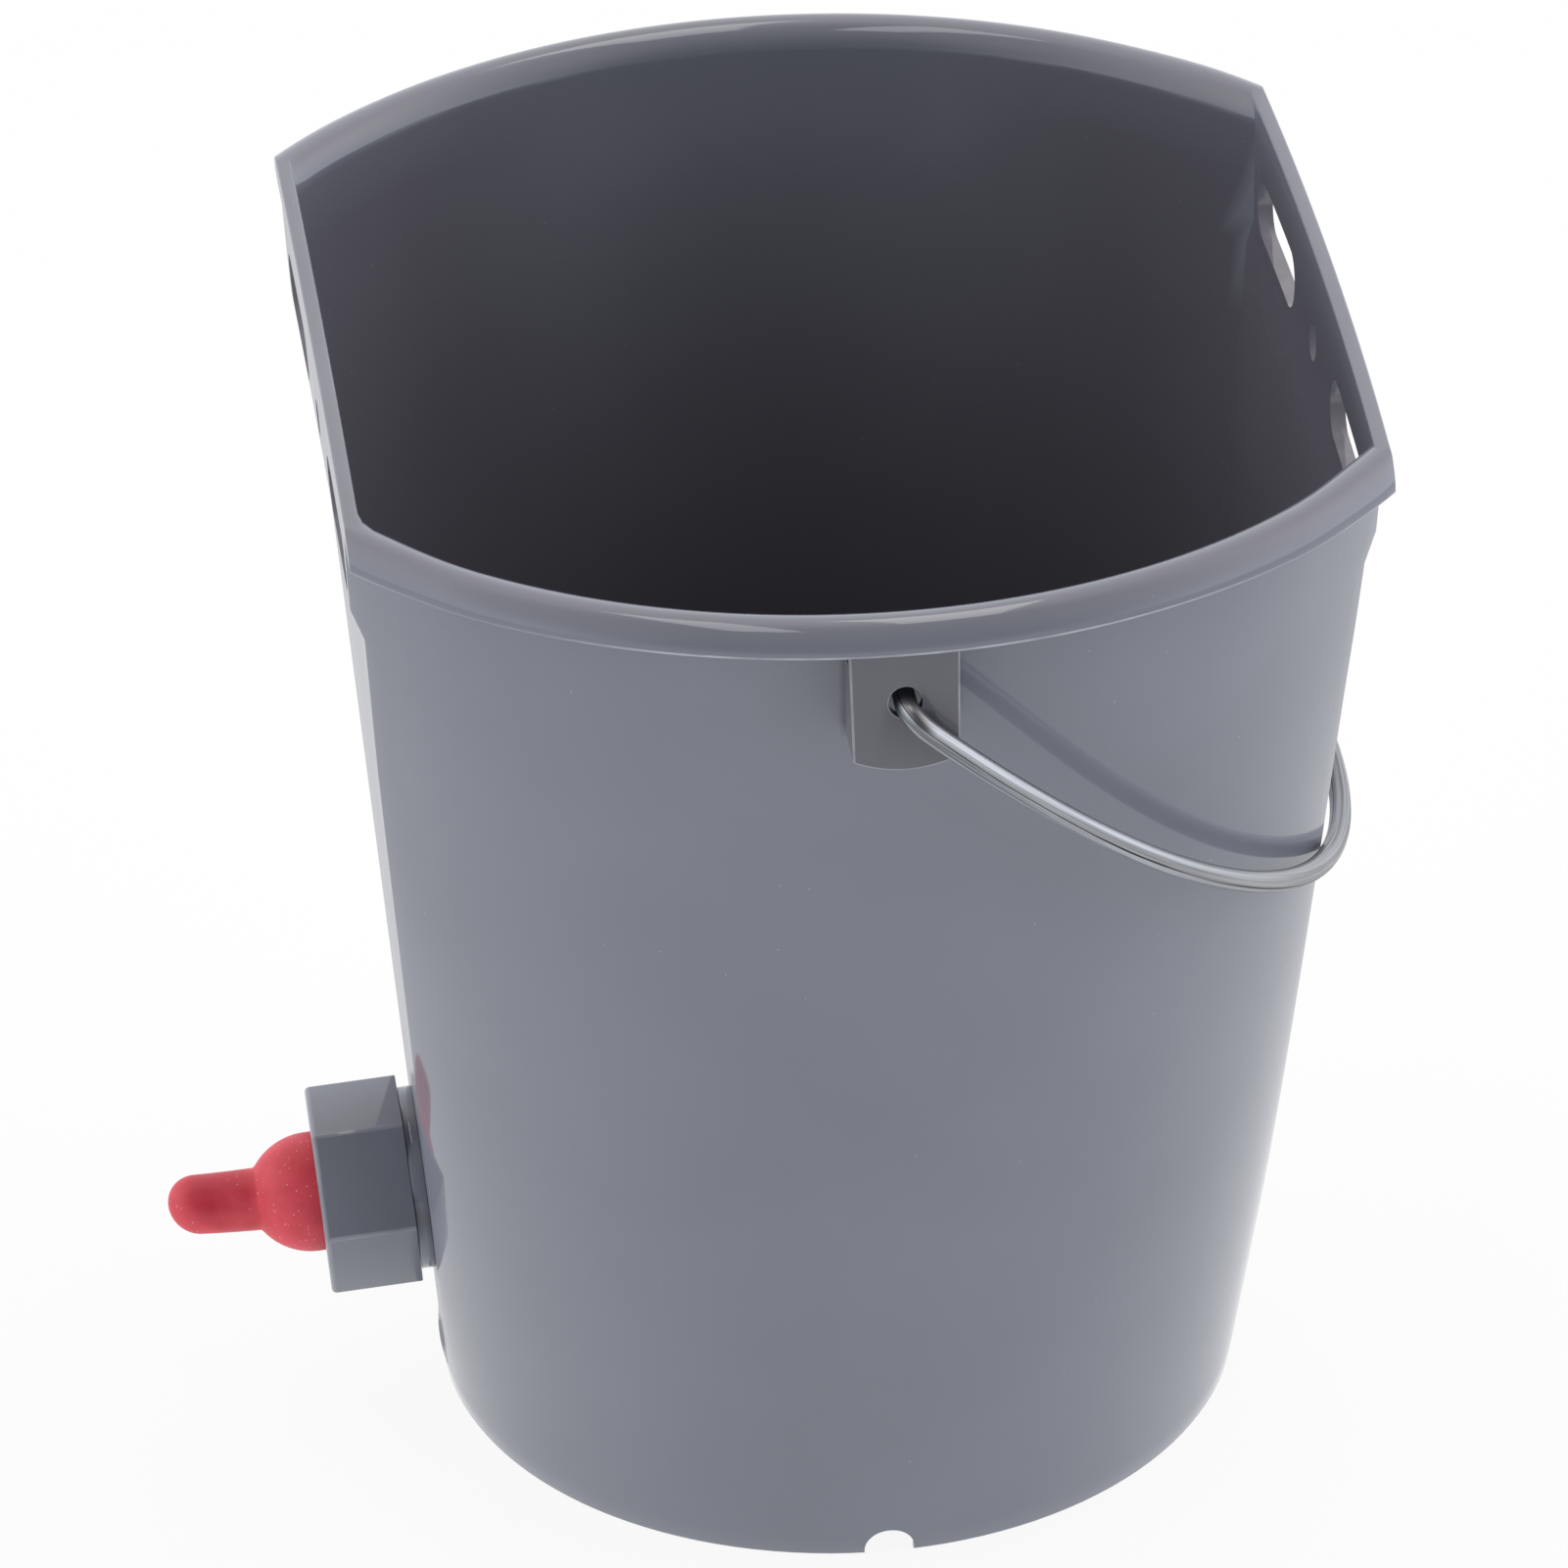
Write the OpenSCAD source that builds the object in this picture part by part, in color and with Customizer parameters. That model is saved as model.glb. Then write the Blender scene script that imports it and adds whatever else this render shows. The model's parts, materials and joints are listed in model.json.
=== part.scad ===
// Calf feeder bucket: a tapered pail with two flat sides, a wire bail and a teat on a screw-in valve.
// Units are millimetres. The origin is the middle of the foot, +Z is up.
// The flat sides face -X (teat side) and +X, and the bail turns about a line along Y.

/* [Bucket] */
// Height from the floor to the crest of the lip
bucket_h = 270; // [220:1:320]
// Outer radius of the round wall at the floor
base_r = 91.8; // [80:0.1:100]
// Outer radius of the round wall just under the lip
wall_top_r = 135.5; // [128:0.1:145]
// Thickness of the wall
wall_t = 2.3; // [1.8:0.1:3]
// Radius of the rolled lip, seen in section
lip_r = 6.3; // [5:0.1:7]
// How much thicker the rolled lip is than the wall
lip_extra = 0.5; // [0.3:0.1:1]
// Height of the hollow under the base
base_z = 8; // [7:0.5:12]
// Thickness of the base
base_t = 3; // [2:0.1:5]
// Height of the full round foot below the flat sides
foot_h = 6.5; // [4:0.5:12]

/* [Flat sides] */
// How far a flat side cuts into the round wall, at the top of the foot
flat_low_cut = 0.88; // [0.5:0.02:4]
// How far a flat side cuts into the round wall, at its shoulder
flat_high_cut = 23.5; // [20:0.1:28]
// Height at which the shoulder starts
shoulder_z = 236.5; // [225:0.5:240]
// Height of the shoulder's slope
shoulder_h = 6.5; // [4:0.5:8]
// How far the upper panel stands out from the flat side
panel_step = 2.2; // [1:0.1:3]
// Thickness of the upper panel
panel_t = 3.4; // [3:0.1:5]

/* [Hanging slots] */
// Height of the slots' and the hole's centre line below the crest
slot_drop = 20; // [17:0.5:21]
// Distance of a slot's middle from the middle of the panel
slot_y = 47.3; // [38:0.1:48.5]
// Length of a slot, over its round ends
slot_len = 45.4; // [30:0.1:47]
// Height of a slot
slot_w = 13.5; // [9:0.5:15]
// Diameter of the round hole in the middle
peg_d = 8.2; // [6:0.1:12]

/* [Drain] */
// Width of the drain notch in the foot
notch_w = 10.8; // [6:0.1:14]
// Height of the drain notch
notch_h = 6.8; // [5.5:0.1:7]

/* [Bail ears] */
// Width of an ear
ear_w = 23; // [20:0.5:28]
// Height of an ear below the lip
ear_h = 26.8; // [22:0.1:30]
// Radius of the curved lower edge of an ear
ear_edge_r = 28; // [20:1:80]
// Wall of an ear
ear_t = 2.4; // [2:0.1:3]
// Distance of the ear's hole below the lip
ear_hole_drop = 10.5; // [9:0.1:12]
// Diameter of the ear's hole
ear_hole_d = 7.8; // [7:0.1:9]
// How far the ear's face lies inside the lip's outer edge
ear_inset = 0.9; // [0.5:0.1:1.5]

/* [Bail] */
// Diameter of the bail's wire
wire_d = 4.8; // [4:0.1:5.5]
// How far the middle of the wire's bow lies outside the lip
bow_out = 7; // [4:0.1:8]
// Radius of the bend where the wire turns into the ear
bail_bend_r = 8; // [6:0.5:10]
// Length of wire that reaches in past the ear's outer face
bail_reach = 8; // [6:0.1:8.5]

/* [Valve] */
// Height of the valve's middle above the floor
valve_z = 50.7; // [45:0.1:80]
// Diameter of the valve's collar
collar_d = 42; // [38:0.5:44]
// Thickness of the collar
collar_t = 2; // [1.5:0.1:3]
// Thickness of the rubber gasket under the collar
gasket_t = 0.8; // [0.6:0.1:2]
// How far the collar's edge reaches over the gasket's
gasket_inset = 0.5; // [0.2:0.1:1]
// Diameter of the barrel where it passes through the wall
stem_d = 30; // [26:0.5:31]
// Length of the barrel inside the bucket
stem_in = 11; // [9:0.5:16]
// Diameter over the threads of the outer barrel
thread_d = 33; // [31:0.5:34]
// Depth of a thread
thread_h = 1.3; // [0.8:0.1:1.4]
// Pitch of the thread
thread_pitch = 3; // [2.5:0.1:4]
// Turns of thread on the barrel
barrel_turns = 3.5; // [2:0.5:3.5]
// Turns of thread in the union nut
nut_turns = 3; // [2:0.5:3]
// Length of the outer barrel beyond the collar
barrel_out = 14.4; // [13:0.1:18]
// Across flats of the lock nut inside the bucket
lock_af = 41; // [38:0.5:44]
// Thickness of the lock nut
lock_t = 6.5; // [5:0.5:8]

/* [Ball valve] */
// Diameter of the ball
ball_d = 13; // [11:0.1:14]
// Diameter of the inlet that the ball closes
inlet_d = 9; // [7:0.1:10]
// Travel of the ball from its stop to its seat
ball_travel = 3.2; // [2:0.1:4]
// Diameter of the ball stop
stop_d = 21.6; // [20:0.1:22.5]
// Thickness of the ball stop
stop_t = 3.2; // [2.5:0.1:4]
// Diameter of the flow holes in the ball stop, and of the flutes round the ball
flow_d = 4.6; // [3:0.1:5]
// Distance of the flow holes' middles outside the ball's chamber
flow_out = 0.4; // [0:0.1:0.8]

/* [Union nut] */
// Wall of the union nut outside its bore, at the middle of a flat
nut_wall = 3.9; // [2.5:0.1:5]
// Turn of the hexagon about the valve's axis
nut_turn = 33; // [0:1:59]
// Thickness of the end wall that holds the teat
nut_end_t = 3; // [2:0.1:4]
// Depth of the bevel on the corners at the outer end, seen along the axis
nut_bevel = 1.5; // [0.5:0.1:2]
// Slant of that bevel
nut_bevel_angle = 38; // [25:1:45]

/* [Teat] */
// Room round the flange in the union nut
flange_gap = 1.7; // [0.5:0.1:2]
// How far the flange stands out round the bulb
flange_lip = 1.5; // [1.2:0.1:3]
// Distance of the bulb's widest ring from the union nut
bulb_out = 1.5; // [0.5:0.1:3]
// How much the bulb's shoulder, seen from the side, is larger in radius than the bulb
bulb_sink = 1.4; // [0:0.1:4]
// Thickness of the flange that the union nut clamps
flange_t = 3.4; // [2.5:0.1:4]
// Diameter of the tip
tip_d = 13.9; // [11:0.1:16]
// Length of the teat beyond the union nut
teat_len = 34.4; // [30:0.1:45]
// Thickness of the rubber
rubber_t = 2.6; // [2:0.1:3]
// Diameter of the milk hole in the tip
milk_d = 1.6; // [1:0.1:3]

/* [Fits] */
// Gap between pieces that move against each other
run_gap = 0.3; // [0.2:0.05:0.5]
// Gap between pieces that are fixed together
seat_gap = 0.05; // [0.03:0.01:0.1]
// Gap between the crests of a thread and the other thread's root, and between nut and collar
thread_gap = 0.4; // [0.3:0.05:0.5]

/* [Hidden] */
$fn = 96;
// Long enough to cut through the whole bucket
far = 400;
// Depth to which shapes of one piece run into each other
bite = 0.6;
// Stretches of the bail's wire stop this short of each other, inside a slightly larger ball
wire_trim = 0.05;
knot_swell = 0.04;

// Wall of the bucket
lip_z = bucket_h - lip_r;
lip_mid_r = wall_top_r - wall_t + lip_r;
lip_out_r = lip_mid_r + lip_r;
wall_slope = (wall_top_r - base_r) / lip_z;
floor_z = base_z + base_t;
function wall_r(z) = base_r + wall_slope * z;

// Flat sides
flat_low_x = wall_r(foot_h) - flat_low_cut;
flat_high_x = wall_r(shoulder_z) - flat_high_cut;
flat_slope = (flat_high_x - flat_low_x) / (shoulder_z - foot_h);
flat_draft = atan(flat_slope);
function flat_x(z) = flat_low_x + flat_slope * (z - foot_h);
panel_z = shoulder_z + shoulder_h;
slot_z = bucket_h - slot_drop;

// Ears and bail
ear_face = lip_out_r - ear_inset;
ear_low_z = lip_z - ear_h;
ear_hole_z = lip_z - ear_hole_drop;
wire_r = wire_d / 2;
bow_r = lip_out_r + bow_out;
hinge_z = ear_hole_z - ear_hole_d / 2 + wire_r + run_gap;
bend_y = sqrt(bow_r * bow_r - 2 * bow_r * bail_bend_r);
bend_turn = asin(bail_bend_r / (bow_r - bail_bend_r));
wire_end_y = ear_face - bail_reach;

// The bail hangs down until it lies against the wall, at the dip that the search below finds.
function bow_gap(dip, turn) =
    let (out = bow_r * cos(turn))
    let (x = out * cos(dip), y = bow_r * sin(turn), z = hinge_z - out * sin(dip))
    max((x - flat_x(z)) * cos(flat_draft), (norm([x, y]) - wall_r(z)) * cos(atan(wall_slope))) - wire_r;
function least_gap(dip) = min([for (turn = [0 : 1 : 80]) bow_gap(dip, turn)]);
function find_dip(low, high, steps) =
    steps == 0 ? low
    : let (mid = (low + high) / 2)
      least_gap(mid) > run_gap ? find_dip(mid, high, steps - 1) : find_dip(low, mid, steps - 1);
bail_dip = find_dip(0, 80, 30);

// Valve, measured outwards from the face of the flat side
wall_depth = wall_t * cos(flat_draft);
valve_x = -flat_x(valve_z);
collar_u = seat_gap + gasket_t + seat_gap;
barrel_u = collar_u + collar_t;
barrel_end = barrel_u + barrel_out;
stem_r = stem_d / 2;
core_r = thread_d / 2 - thread_h;
stop_u = barrel_end - stop_t;
chamber_r = ball_d / 2 + run_gap;
ball_open = stop_u - run_gap - ball_d / 2;
seat_cone = chamber_r - inlet_d / 2;
ball_shut = ball_open - ball_travel;
seat_u = ball_shut - run_gap - ball_d / 2 * sqrt(2) + inlet_d / 2;
flow_ring_r = chamber_r + flow_out;

// Union nut and teat
nut_u = barrel_u + thread_gap;
bore_r = thread_d / 2 + thread_gap;
flange_u = barrel_end + run_gap;
nut_end_u = flange_u + flange_t + run_gap;
nut_face = nut_end_u + nut_end_t;
nut_corner_r = 2 * (bore_r + nut_wall) / sqrt(3);
flange_r = bore_r - flange_gap;
bulb_u = nut_face + bulb_out;
bulb_d = 2 * (flange_r - flange_lip);
bulb_r = bulb_d / 2 + bulb_sink;
tip_r = tip_d / 2;
teat_end = nut_face + teat_len;

// Points on an arc of radius r round the point c
function arc(c, r, from, to, steps) =
    [for (i = [0 : steps]) let (a = from + (to - from) * i / steps) c + r * [cos(a), sin(a)]];

// A solid of revolution whose outside is the round wall, moved in by inset
module round_cone(inset, low, high) {
    rotate_extrude()
        polygon([[0, low], [wall_r(low) - inset, low], [wall_r(high) - inset, high], [0, high]]);
}

// The space between the two flat sides, which runs along Y, with the points of what lies below them
module between_flats(flat_in, panel_in, low, below = []) {
    edge = concat(below, [[flat_x(low) - flat_in, low],
                          [flat_x(shoulder_z) - flat_in, shoulder_z],
                          [flat_x(panel_z) + panel_step - panel_in, panel_z],
                          [flat_x(bucket_h + 1) + panel_step - panel_in, bucket_h + 1]]);
    mirrored = [for (i = [len(edge) - 1 : -1 : 0]) [-edge[i].x, edge[i].y]];
    rotate([90, 0, 0])
        linear_extrude(far, center = true)
            polygon(concat(edge, mirrored));
}

// The lip, filled in to the axis
module lip_blank() {
    rotate_extrude()
        polygon(concat([[0, lip_z]], arc([lip_mid_r, lip_z], lip_r, 0, 90, 9), [[0, bucket_h]]));
}

// The mouth inside the rolled lip
module lip_mouth() {
    roll = arc([lip_mid_r, lip_z], lip_r, 180, 100, 8);
    rotate_extrude()
        polygon(concat([[0, lip_z - bite], [wall_r(lip_z - bite) - wall_t, lip_z - bite]], roll,
                       [[roll[8].x + 1, bucket_h + 1], [0, bucket_h + 1]]));
}

// The hollow under the rolled lip
module lip_groove() {
    groove_r = lip_r - wall_t - lip_extra;
    rotate_extrude()
        polygon(concat([[lip_mid_r - groove_r, lip_z - bite], [lip_mid_r + groove_r, lip_z - bite]],
                       arc([lip_mid_r, lip_z], groove_r, 0, 180, 10)));
}

// A bar with round ends along Y, as deep along X as said
module slot_bar(width, length, depth) {
    rotate([90, 0, 90])
        linear_extrude(depth, center = true)
            union() {
                square([length - width, width], center = true);
                for (side = [-1, 1])
                    translate([side * (length - width) / 2, 0])
                        circle(d = width);
            }
}

module slot_cuts() {
    for (along = [-1, 1])
        translate([0, along * slot_y, slot_z])
            slot_bar(slot_w, slot_len, far);
    translate([0, 0, slot_z])
        rotate([0, 90, 0])
            cylinder(d = peg_d, h = far, center = true);
}

// One ear at the -Y side: a face and two cheeks that open downwards, under the lip
module ear() {
    difference() {
        rotate([90, 0, 0])
            translate([0, 0, wall_r(ear_low_z) - wall_t])
                linear_extrude(ear_face - wall_r(ear_low_z) + wall_t)
                    intersection() {
                        translate([-ear_w / 2, ear_low_z])
                            square([ear_w, ear_h + 2 * bite]);
                        translate([0, ear_low_z + ear_edge_r])
                            circle(ear_edge_r);
                    }
        translate([ear_t - ear_w / 2, ear_t - ear_face, ear_low_z - 1])
            cube([ear_w - 2 * ear_t, ear_face, ear_h + 1 - ear_t]);
        round_cone(wall_t / 2, ear_low_z - 5, lip_z + 5);
        translate([0, 0, ear_hole_z])
            rotate([90, 0, 0])
                cylinder(d = ear_hole_d, h = far);
    }
}

// The valve's own frame: Z points out along its axis, and 0 is the face of the -X flat side
module valve_place() {
    translate([valve_x, 0, valve_z])
        rotate([0, -90 - flat_draft, 0])
            children();
}

module bucket_shell() {
    color("slategray")
        difference() {
            union() {
                difference() {
                    intersection() {
                        union() {
                            round_cone(0, 0, lip_z + bite);
                            lip_blank();
                        }
                        between_flats(0, 0, foot_h, [[far / 2, -1], [far / 2, foot_h]]);
                    }
                    intersection() {
                        union() {
                            round_cone(wall_t, floor_z, lip_z);
                            lip_mouth();
                        }
                        between_flats(wall_t, panel_t, floor_z);
                    }
                    intersection() {
                        lip_groove();
                        between_flats(wall_t, panel_t, floor_z);
                    }
                }
                for (turn = [0, 180])
                    rotate([0, 0, turn])
                        ear();
            }
            translate([0, 0, -1])
                cylinder(r = base_r - wall_t, h = base_z + 1);
            translate([0, 0, notch_h - notch_w / 2])
                rotate([90, 0, 0])
                    cylinder(d = notch_w, h = far);
            slot_cuts();
            valve_place()
                translate([0, 0, -stem_in])
                    cylinder(r = stem_r + run_gap, h = stem_in + barrel_u);
        }
}

// One stretch of the bail's wire, bent round the Z axis
module wire_bend(radius, from, turn) {
    trim = wire_trim / radius * 180 / PI;
    rotate([0, 0, from + trim])
        rotate_extrude(angle = turn - 2 * trim)
            translate([radius, 0])
                circle(wire_r);
}

module bail() {
    color("silver")
        translate([0, 0, hinge_z])
            rotate([0, bail_dip, 0]) {
                wire_bend(bow_r, bend_turn - 90, 180 - 2 * bend_turn);
                for (side = [0, 1])
                    mirror([0, side, 0]) {
                        translate([bail_bend_r, -bend_y, 0])
                            wire_bend(bail_bend_r, 180, 90 + bend_turn);
                        translate([bow_r * sin(bend_turn), -bow_r * cos(bend_turn), 0])
                            sphere(wire_r + knot_swell);
                        translate([0, -bend_y, 0])
                            sphere(wire_r + knot_swell);
                        translate([0, wire_trim - bend_y, 0])
                            rotate([-90, 0, 0])
                                cylinder(r = wire_r, h = bend_y - wire_end_y - wire_trim);
                    }
            }
}

// A helical ridge round Z: from root_r to crest_r, fading out over a quarter turn at both ends
module thread_ridge(root_r, crest_r, turns) {
    per_turn = 24;
    steps = turns * per_turn;
    foot_w = thread_pitch * 0.27;
    crest_w = thread_pitch * 0.12;
    fade = per_turn / 4;
    rings = [for (i = [0 : steps])
        let (a = i * 360 / per_turn, rise = thread_pitch * i / per_turn)
        let (r = root_r + (crest_r - root_r) * max(0.1, min(1, i / fade, (steps - i) / fade)))
        [for (p = [[root_r, -foot_w], [r, -crest_w], [r, crest_w], [root_r, foot_w]])
            [p.x * cos(a), p.x * sin(a), rise + p.y]]];
    points = [for (ring = rings, p = ring) p];
    sides = [for (i = [0 : steps - 1], j = [0 : 3])
        let (a = 4 * i + j, b = 4 * i + (j + 1) % 4)
        each [[a, b, b + 4], [a, b + 4, a + 4]]];
    ends = [[2, 1, 0], [3, 2, 0], [for (j = [0, 1, 2]) 4 * steps + j], [for (j = [0, 2, 3]) 4 * steps + j]];
    polyhedron(points, crest_r > root_r ? concat(sides, ends) : [for (f = concat(sides, ends)) [f[2], f[1], f[0]]]);
}

module valve_body() {
    color("slategray")
        valve_place()
            difference() {
                union() {
                    translate([0, 0, -stem_in])
                        cylinder(r = stem_r, h = stem_in + barrel_u);
                    translate([0, 0, collar_u])
                        cylinder(d = collar_d, h = collar_t);
                    translate([0, 0, collar_u])
                        cylinder(r = core_r, h = barrel_end - collar_u);
                    translate([0, 0, barrel_u + thread_pitch / 2])
                        thread_ridge(core_r - bite, thread_d / 2, barrel_turns);
                }
                rotate_extrude()
                    polygon([[0, -stem_in - 1], [inlet_d / 2, -stem_in - 1], [inlet_d / 2, seat_u],
                             [chamber_r, seat_u + seat_cone], [chamber_r, stop_u - seat_gap],
                             [stop_d / 2 + 2 * seat_gap, stop_u - seat_gap],
                             [stop_d / 2 + 2 * seat_gap, barrel_end + 1], [0, barrel_end + 1]]);
                for (turn = [45 : 90 : 315])
                    rotate([0, 0, turn])
                        translate([flow_ring_r, 0, seat_u + seat_cone + bite])
                            cylinder(d = flow_d, h = stop_u - seat_u - seat_cone);
            }
}

module wall_gasket() {
    color("dimgray")
        valve_place()
            translate([0, 0, seat_gap])
                difference() {
                    cylinder(d = collar_d - 2 * gasket_inset, h = gasket_t);
                    translate([0, 0, -1])
                        cylinder(r = stem_r + 2 * seat_gap, h = gasket_t + 2);
                }
}

module lock_nut() {
    color("slategray")
        valve_place()
            translate([0, 0, -wall_depth - seat_gap - lock_t])
                difference() {
                    cylinder(r = lock_af / sqrt(3), h = lock_t, $fn = 6);
                    translate([0, 0, -1])
                        cylinder(r = stem_r + 2 * seat_gap, h = lock_t + 2);
                }
}

module valve_ball() {
    color("white")
        valve_place()
            translate([0, 0, ball_open])
                sphere(d = ball_d);
}

// A plug with flow holes round a solid middle, which stops the ball
module ball_stop() {
    color("lightgray")
        valve_place()
            translate([0, 0, stop_u])
                difference() {
                    cylinder(d = stop_d, h = stop_t);
                    for (turn = [45 : 90 : 315])
                        rotate([0, 0, turn])
                            translate([flow_ring_r, 0, -1])
                                cylinder(d = flow_d, h = stop_t + 2);
                }
}

module union_nut() {
    color("slategray")
        valve_place()
            union() {
                difference() {
                    intersection() {
                        rotate([0, 0, nut_turn])
                            translate([0, 0, nut_u])
                                cylinder(r = nut_corner_r, h = nut_face - nut_u, $fn = 6);
                        rotate_extrude()
                            polygon([[0, 0], [nut_corner_r + bite, 0],
                                     [nut_corner_r + bite, nut_face - (nut_bevel + bite) * tan(nut_bevel_angle)],
                                     [nut_corner_r - nut_bevel, nut_face], [0, nut_face]]);
                    }
                    translate([0, 0, nut_u - 1])
                        cylinder(r = bore_r, h = nut_end_u - nut_u + 1);
                    cylinder(d = bulb_d + 4 * seat_gap + 2 * run_gap, h = far / 4);
                }
                translate([0, 0, barrel_u + thread_pitch])
                    thread_ridge(bore_r + bite, core_r + thread_gap, nut_turns);
            }
}

module teat() {
    hollow_r = bulb_r - rubber_t;
    bore_tip_r = tip_r - rubber_t;
    bulb = arc([-bulb_sink, bulb_u], bulb_r, 0, acos((tip_r + bulb_sink) / bulb_r), 12);
    hollow = arc([-bulb_sink, bulb_u], hollow_r, 0, acos((bore_tip_r + bulb_sink) / hollow_r), 8);
    color("crimson")
        valve_place()
            difference() {
                rotate_extrude()
                    polygon(concat([[0, flange_u], [flange_r, flange_u], [flange_r, flange_u + flange_t],
                                    [bulb_d / 2, flange_u + flange_t]],
                                   bulb, arc([0, teat_end - tip_r], tip_r, 0, 90, 8)));
                rotate_extrude()
                    polygon(concat([[0, flange_u - 1], [hollow[0].x, flange_u - 1]],
                                   hollow, arc([0, teat_end - tip_r], bore_tip_r, 0, 90, 6)));
                translate([0, 0, bulb_u])
                    cylinder(d = milk_d, h = far / 4);
            }
}

bucket_shell();
bail();
valve_body();
wall_gasket();
lock_nut();
valve_ball();
ball_stop();
union_nut();
teat();
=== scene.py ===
import json
import math

import bmesh
import bpy
from mathutils import Matrix, Vector

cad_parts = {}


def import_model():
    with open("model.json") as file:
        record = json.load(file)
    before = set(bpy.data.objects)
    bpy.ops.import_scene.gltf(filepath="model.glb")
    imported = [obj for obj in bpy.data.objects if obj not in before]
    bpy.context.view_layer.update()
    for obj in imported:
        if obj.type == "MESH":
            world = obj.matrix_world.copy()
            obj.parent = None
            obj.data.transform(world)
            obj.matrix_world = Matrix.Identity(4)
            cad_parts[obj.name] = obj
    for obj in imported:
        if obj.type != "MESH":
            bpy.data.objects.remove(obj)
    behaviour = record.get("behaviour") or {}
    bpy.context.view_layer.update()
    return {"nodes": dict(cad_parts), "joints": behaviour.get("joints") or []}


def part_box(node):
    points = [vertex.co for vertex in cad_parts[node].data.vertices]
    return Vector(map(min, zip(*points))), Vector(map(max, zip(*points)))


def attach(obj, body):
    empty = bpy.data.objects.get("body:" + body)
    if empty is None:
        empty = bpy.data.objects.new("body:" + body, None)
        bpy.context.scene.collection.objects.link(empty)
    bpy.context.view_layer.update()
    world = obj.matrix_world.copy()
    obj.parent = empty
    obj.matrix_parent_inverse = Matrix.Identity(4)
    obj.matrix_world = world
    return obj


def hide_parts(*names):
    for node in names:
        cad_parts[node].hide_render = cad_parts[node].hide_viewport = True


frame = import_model()
joints = {joint["name"]: joint for joint in frame["joints"]}

# All sizes are in millimetres, and a finished piece is brought to metres.
MM = 0.001
FAR = 400.0
# How far a tool reaches past what it cuts
CUT_SPARE = 10.0
# How near a point is to a face that it lies on
TOUCH = 0.01
MERGE = 1e-4

# Pail
shell_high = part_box("bucket_shell")[1]
HEIGHT = shell_high.z / MM
LIP_OUT_R = shell_high.y / MM
BASE_R = 91.8
WALL = 2.3
LIP_R = 6.3
BASE_Z = 8.0
FLOOR_Z = 11.0
FLOOR_ROUND = 4.0
FLOOR_FLAT_R = 40.0
FOOT_H = 6.5
FOOT_ROUND = 2.0
FOOT_CHAMFER = 0.5
LIP_Z = HEIGHT - LIP_R
LIP_MID_R = LIP_OUT_R - LIP_R
LIP_EDGE_Z = LIP_Z + 0.6
LIP_EDGE_ROUND = 0.9
WALL_TOP_R = LIP_MID_R - LIP_R + WALL
WALL_SLOPE = (WALL_TOP_R - BASE_R) / LIP_Z
LEVEL_STEP = 20
COLUMNS = 180
CORNER_COLUMN = math.radians(30)
LEAST_CORNER = math.radians(8)
CORNER_ROUND = 1.2
SOFT_CORNER = 0.55
RIM_ROUND = 0.7

# Hollow under the lip, at the back and the front, in degrees around the pail
GROOVE_R = LIP_R - WALL - 0.5
GROOVE_DROP = 3.0
GROOVE_STARTS = (40, 220)
GROOVE_SWEEP = 100
GROOVE_STEPS = 60

# Flat sides and their panels
FLAT_LOW_X = 92.0
FLAT_SLOPE = 0.06737
SHOULDER_Z = 236.5
PANEL_Z = 243.0
PANEL_MID_Z = 252.0
PANEL_STEP = 2.2
PANEL_T = 3.4

# Warp of the panels: how far they stand out, bow, turn and lean
WARP_LOW_Z = 190.0
WARP_END_Y = 90.0
WARP_HALF_Y = 80.0
WARP_X = (85.0, 105.0)
BAIL_PANEL_OUT = 0.25
BAIL_PANEL_BOW = 1.43
BAIL_PANEL_TURN = 0.95
BAIL_PANEL_LEAN = 0.027
TEAT_PANEL_BOW = -0.3
TEAT_PANEL_TURN = 0.7
TEAT_PANEL_LEAN = -0.6

# Hanging slots
SLOT_Z = HEIGHT - 20.0
SLOT_Y = 47.3
SLOT_LEN = 45.4
SLOT_W = 13.5
PEG_R = 4.1

# Drain notch
NOTCH_R = 5.65
NOTCH_TOP = 6.8
NOTCH_DEPTH = 25.0
NOTCH_LENGTH = 60.0

# Ears
EAR_W = 23.0
EAR_TOP_Z = LIP_Z + 0.8
EAR_LOW_Z = LIP_Z - 26.8
EAR_EDGE_R = 28.0
EAR_T = 2.4
EAR_FACE = LIP_OUT_R - LIP_EDGE_ROUND
EAR_HOLE_R = 3.6
EAR_HOLE_Z = LIP_Z - 11.1
EAR_HOLE_ROUND = 0.3
EAR_ROUND = 0.5
EAR_LEAN = 0.055
EAR_TAPER = 0.035
EAR_SHIFT = 0.7

# Painted light and shade on the pail
# Painted light on the slot walls, and a painted highlight along the lip's lower edge that fades towards the
# sides
SLOT_WALL_LIGHT = 0.4
SLOT_LEAST_X = 90.0
SLOT_WALL_REACH = 0.1
LIP_EDGE_HIGHLIGHT = 0.8
LIP_HIGHLIGHT_X = 40.0
LIP_EDGE_REACH = 1.0
# Painted shade inside the pail, less higher up at the front and back and gone at the rim, and on the ears
SHADE_LIFT = 0.85
SHADE_LIFT_X = (30.0, 85.0)
SHADE_LIFT_Z = (60.0, 240.0)
SHADE_FADE_RIM_Z = (HEIGHT - 10.0, HEIGHT - 1.0)
EAR_SHADE = 1.0
EAR_OFF_WALL = 2.0
EAR_SHADE_TOP = LIP_Z - 0.5
# A face looks away from a direction when its normal has less than this share along it.
LOOKS_AWAY = 0.3
LOOKS_ALONG = 0.985

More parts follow.
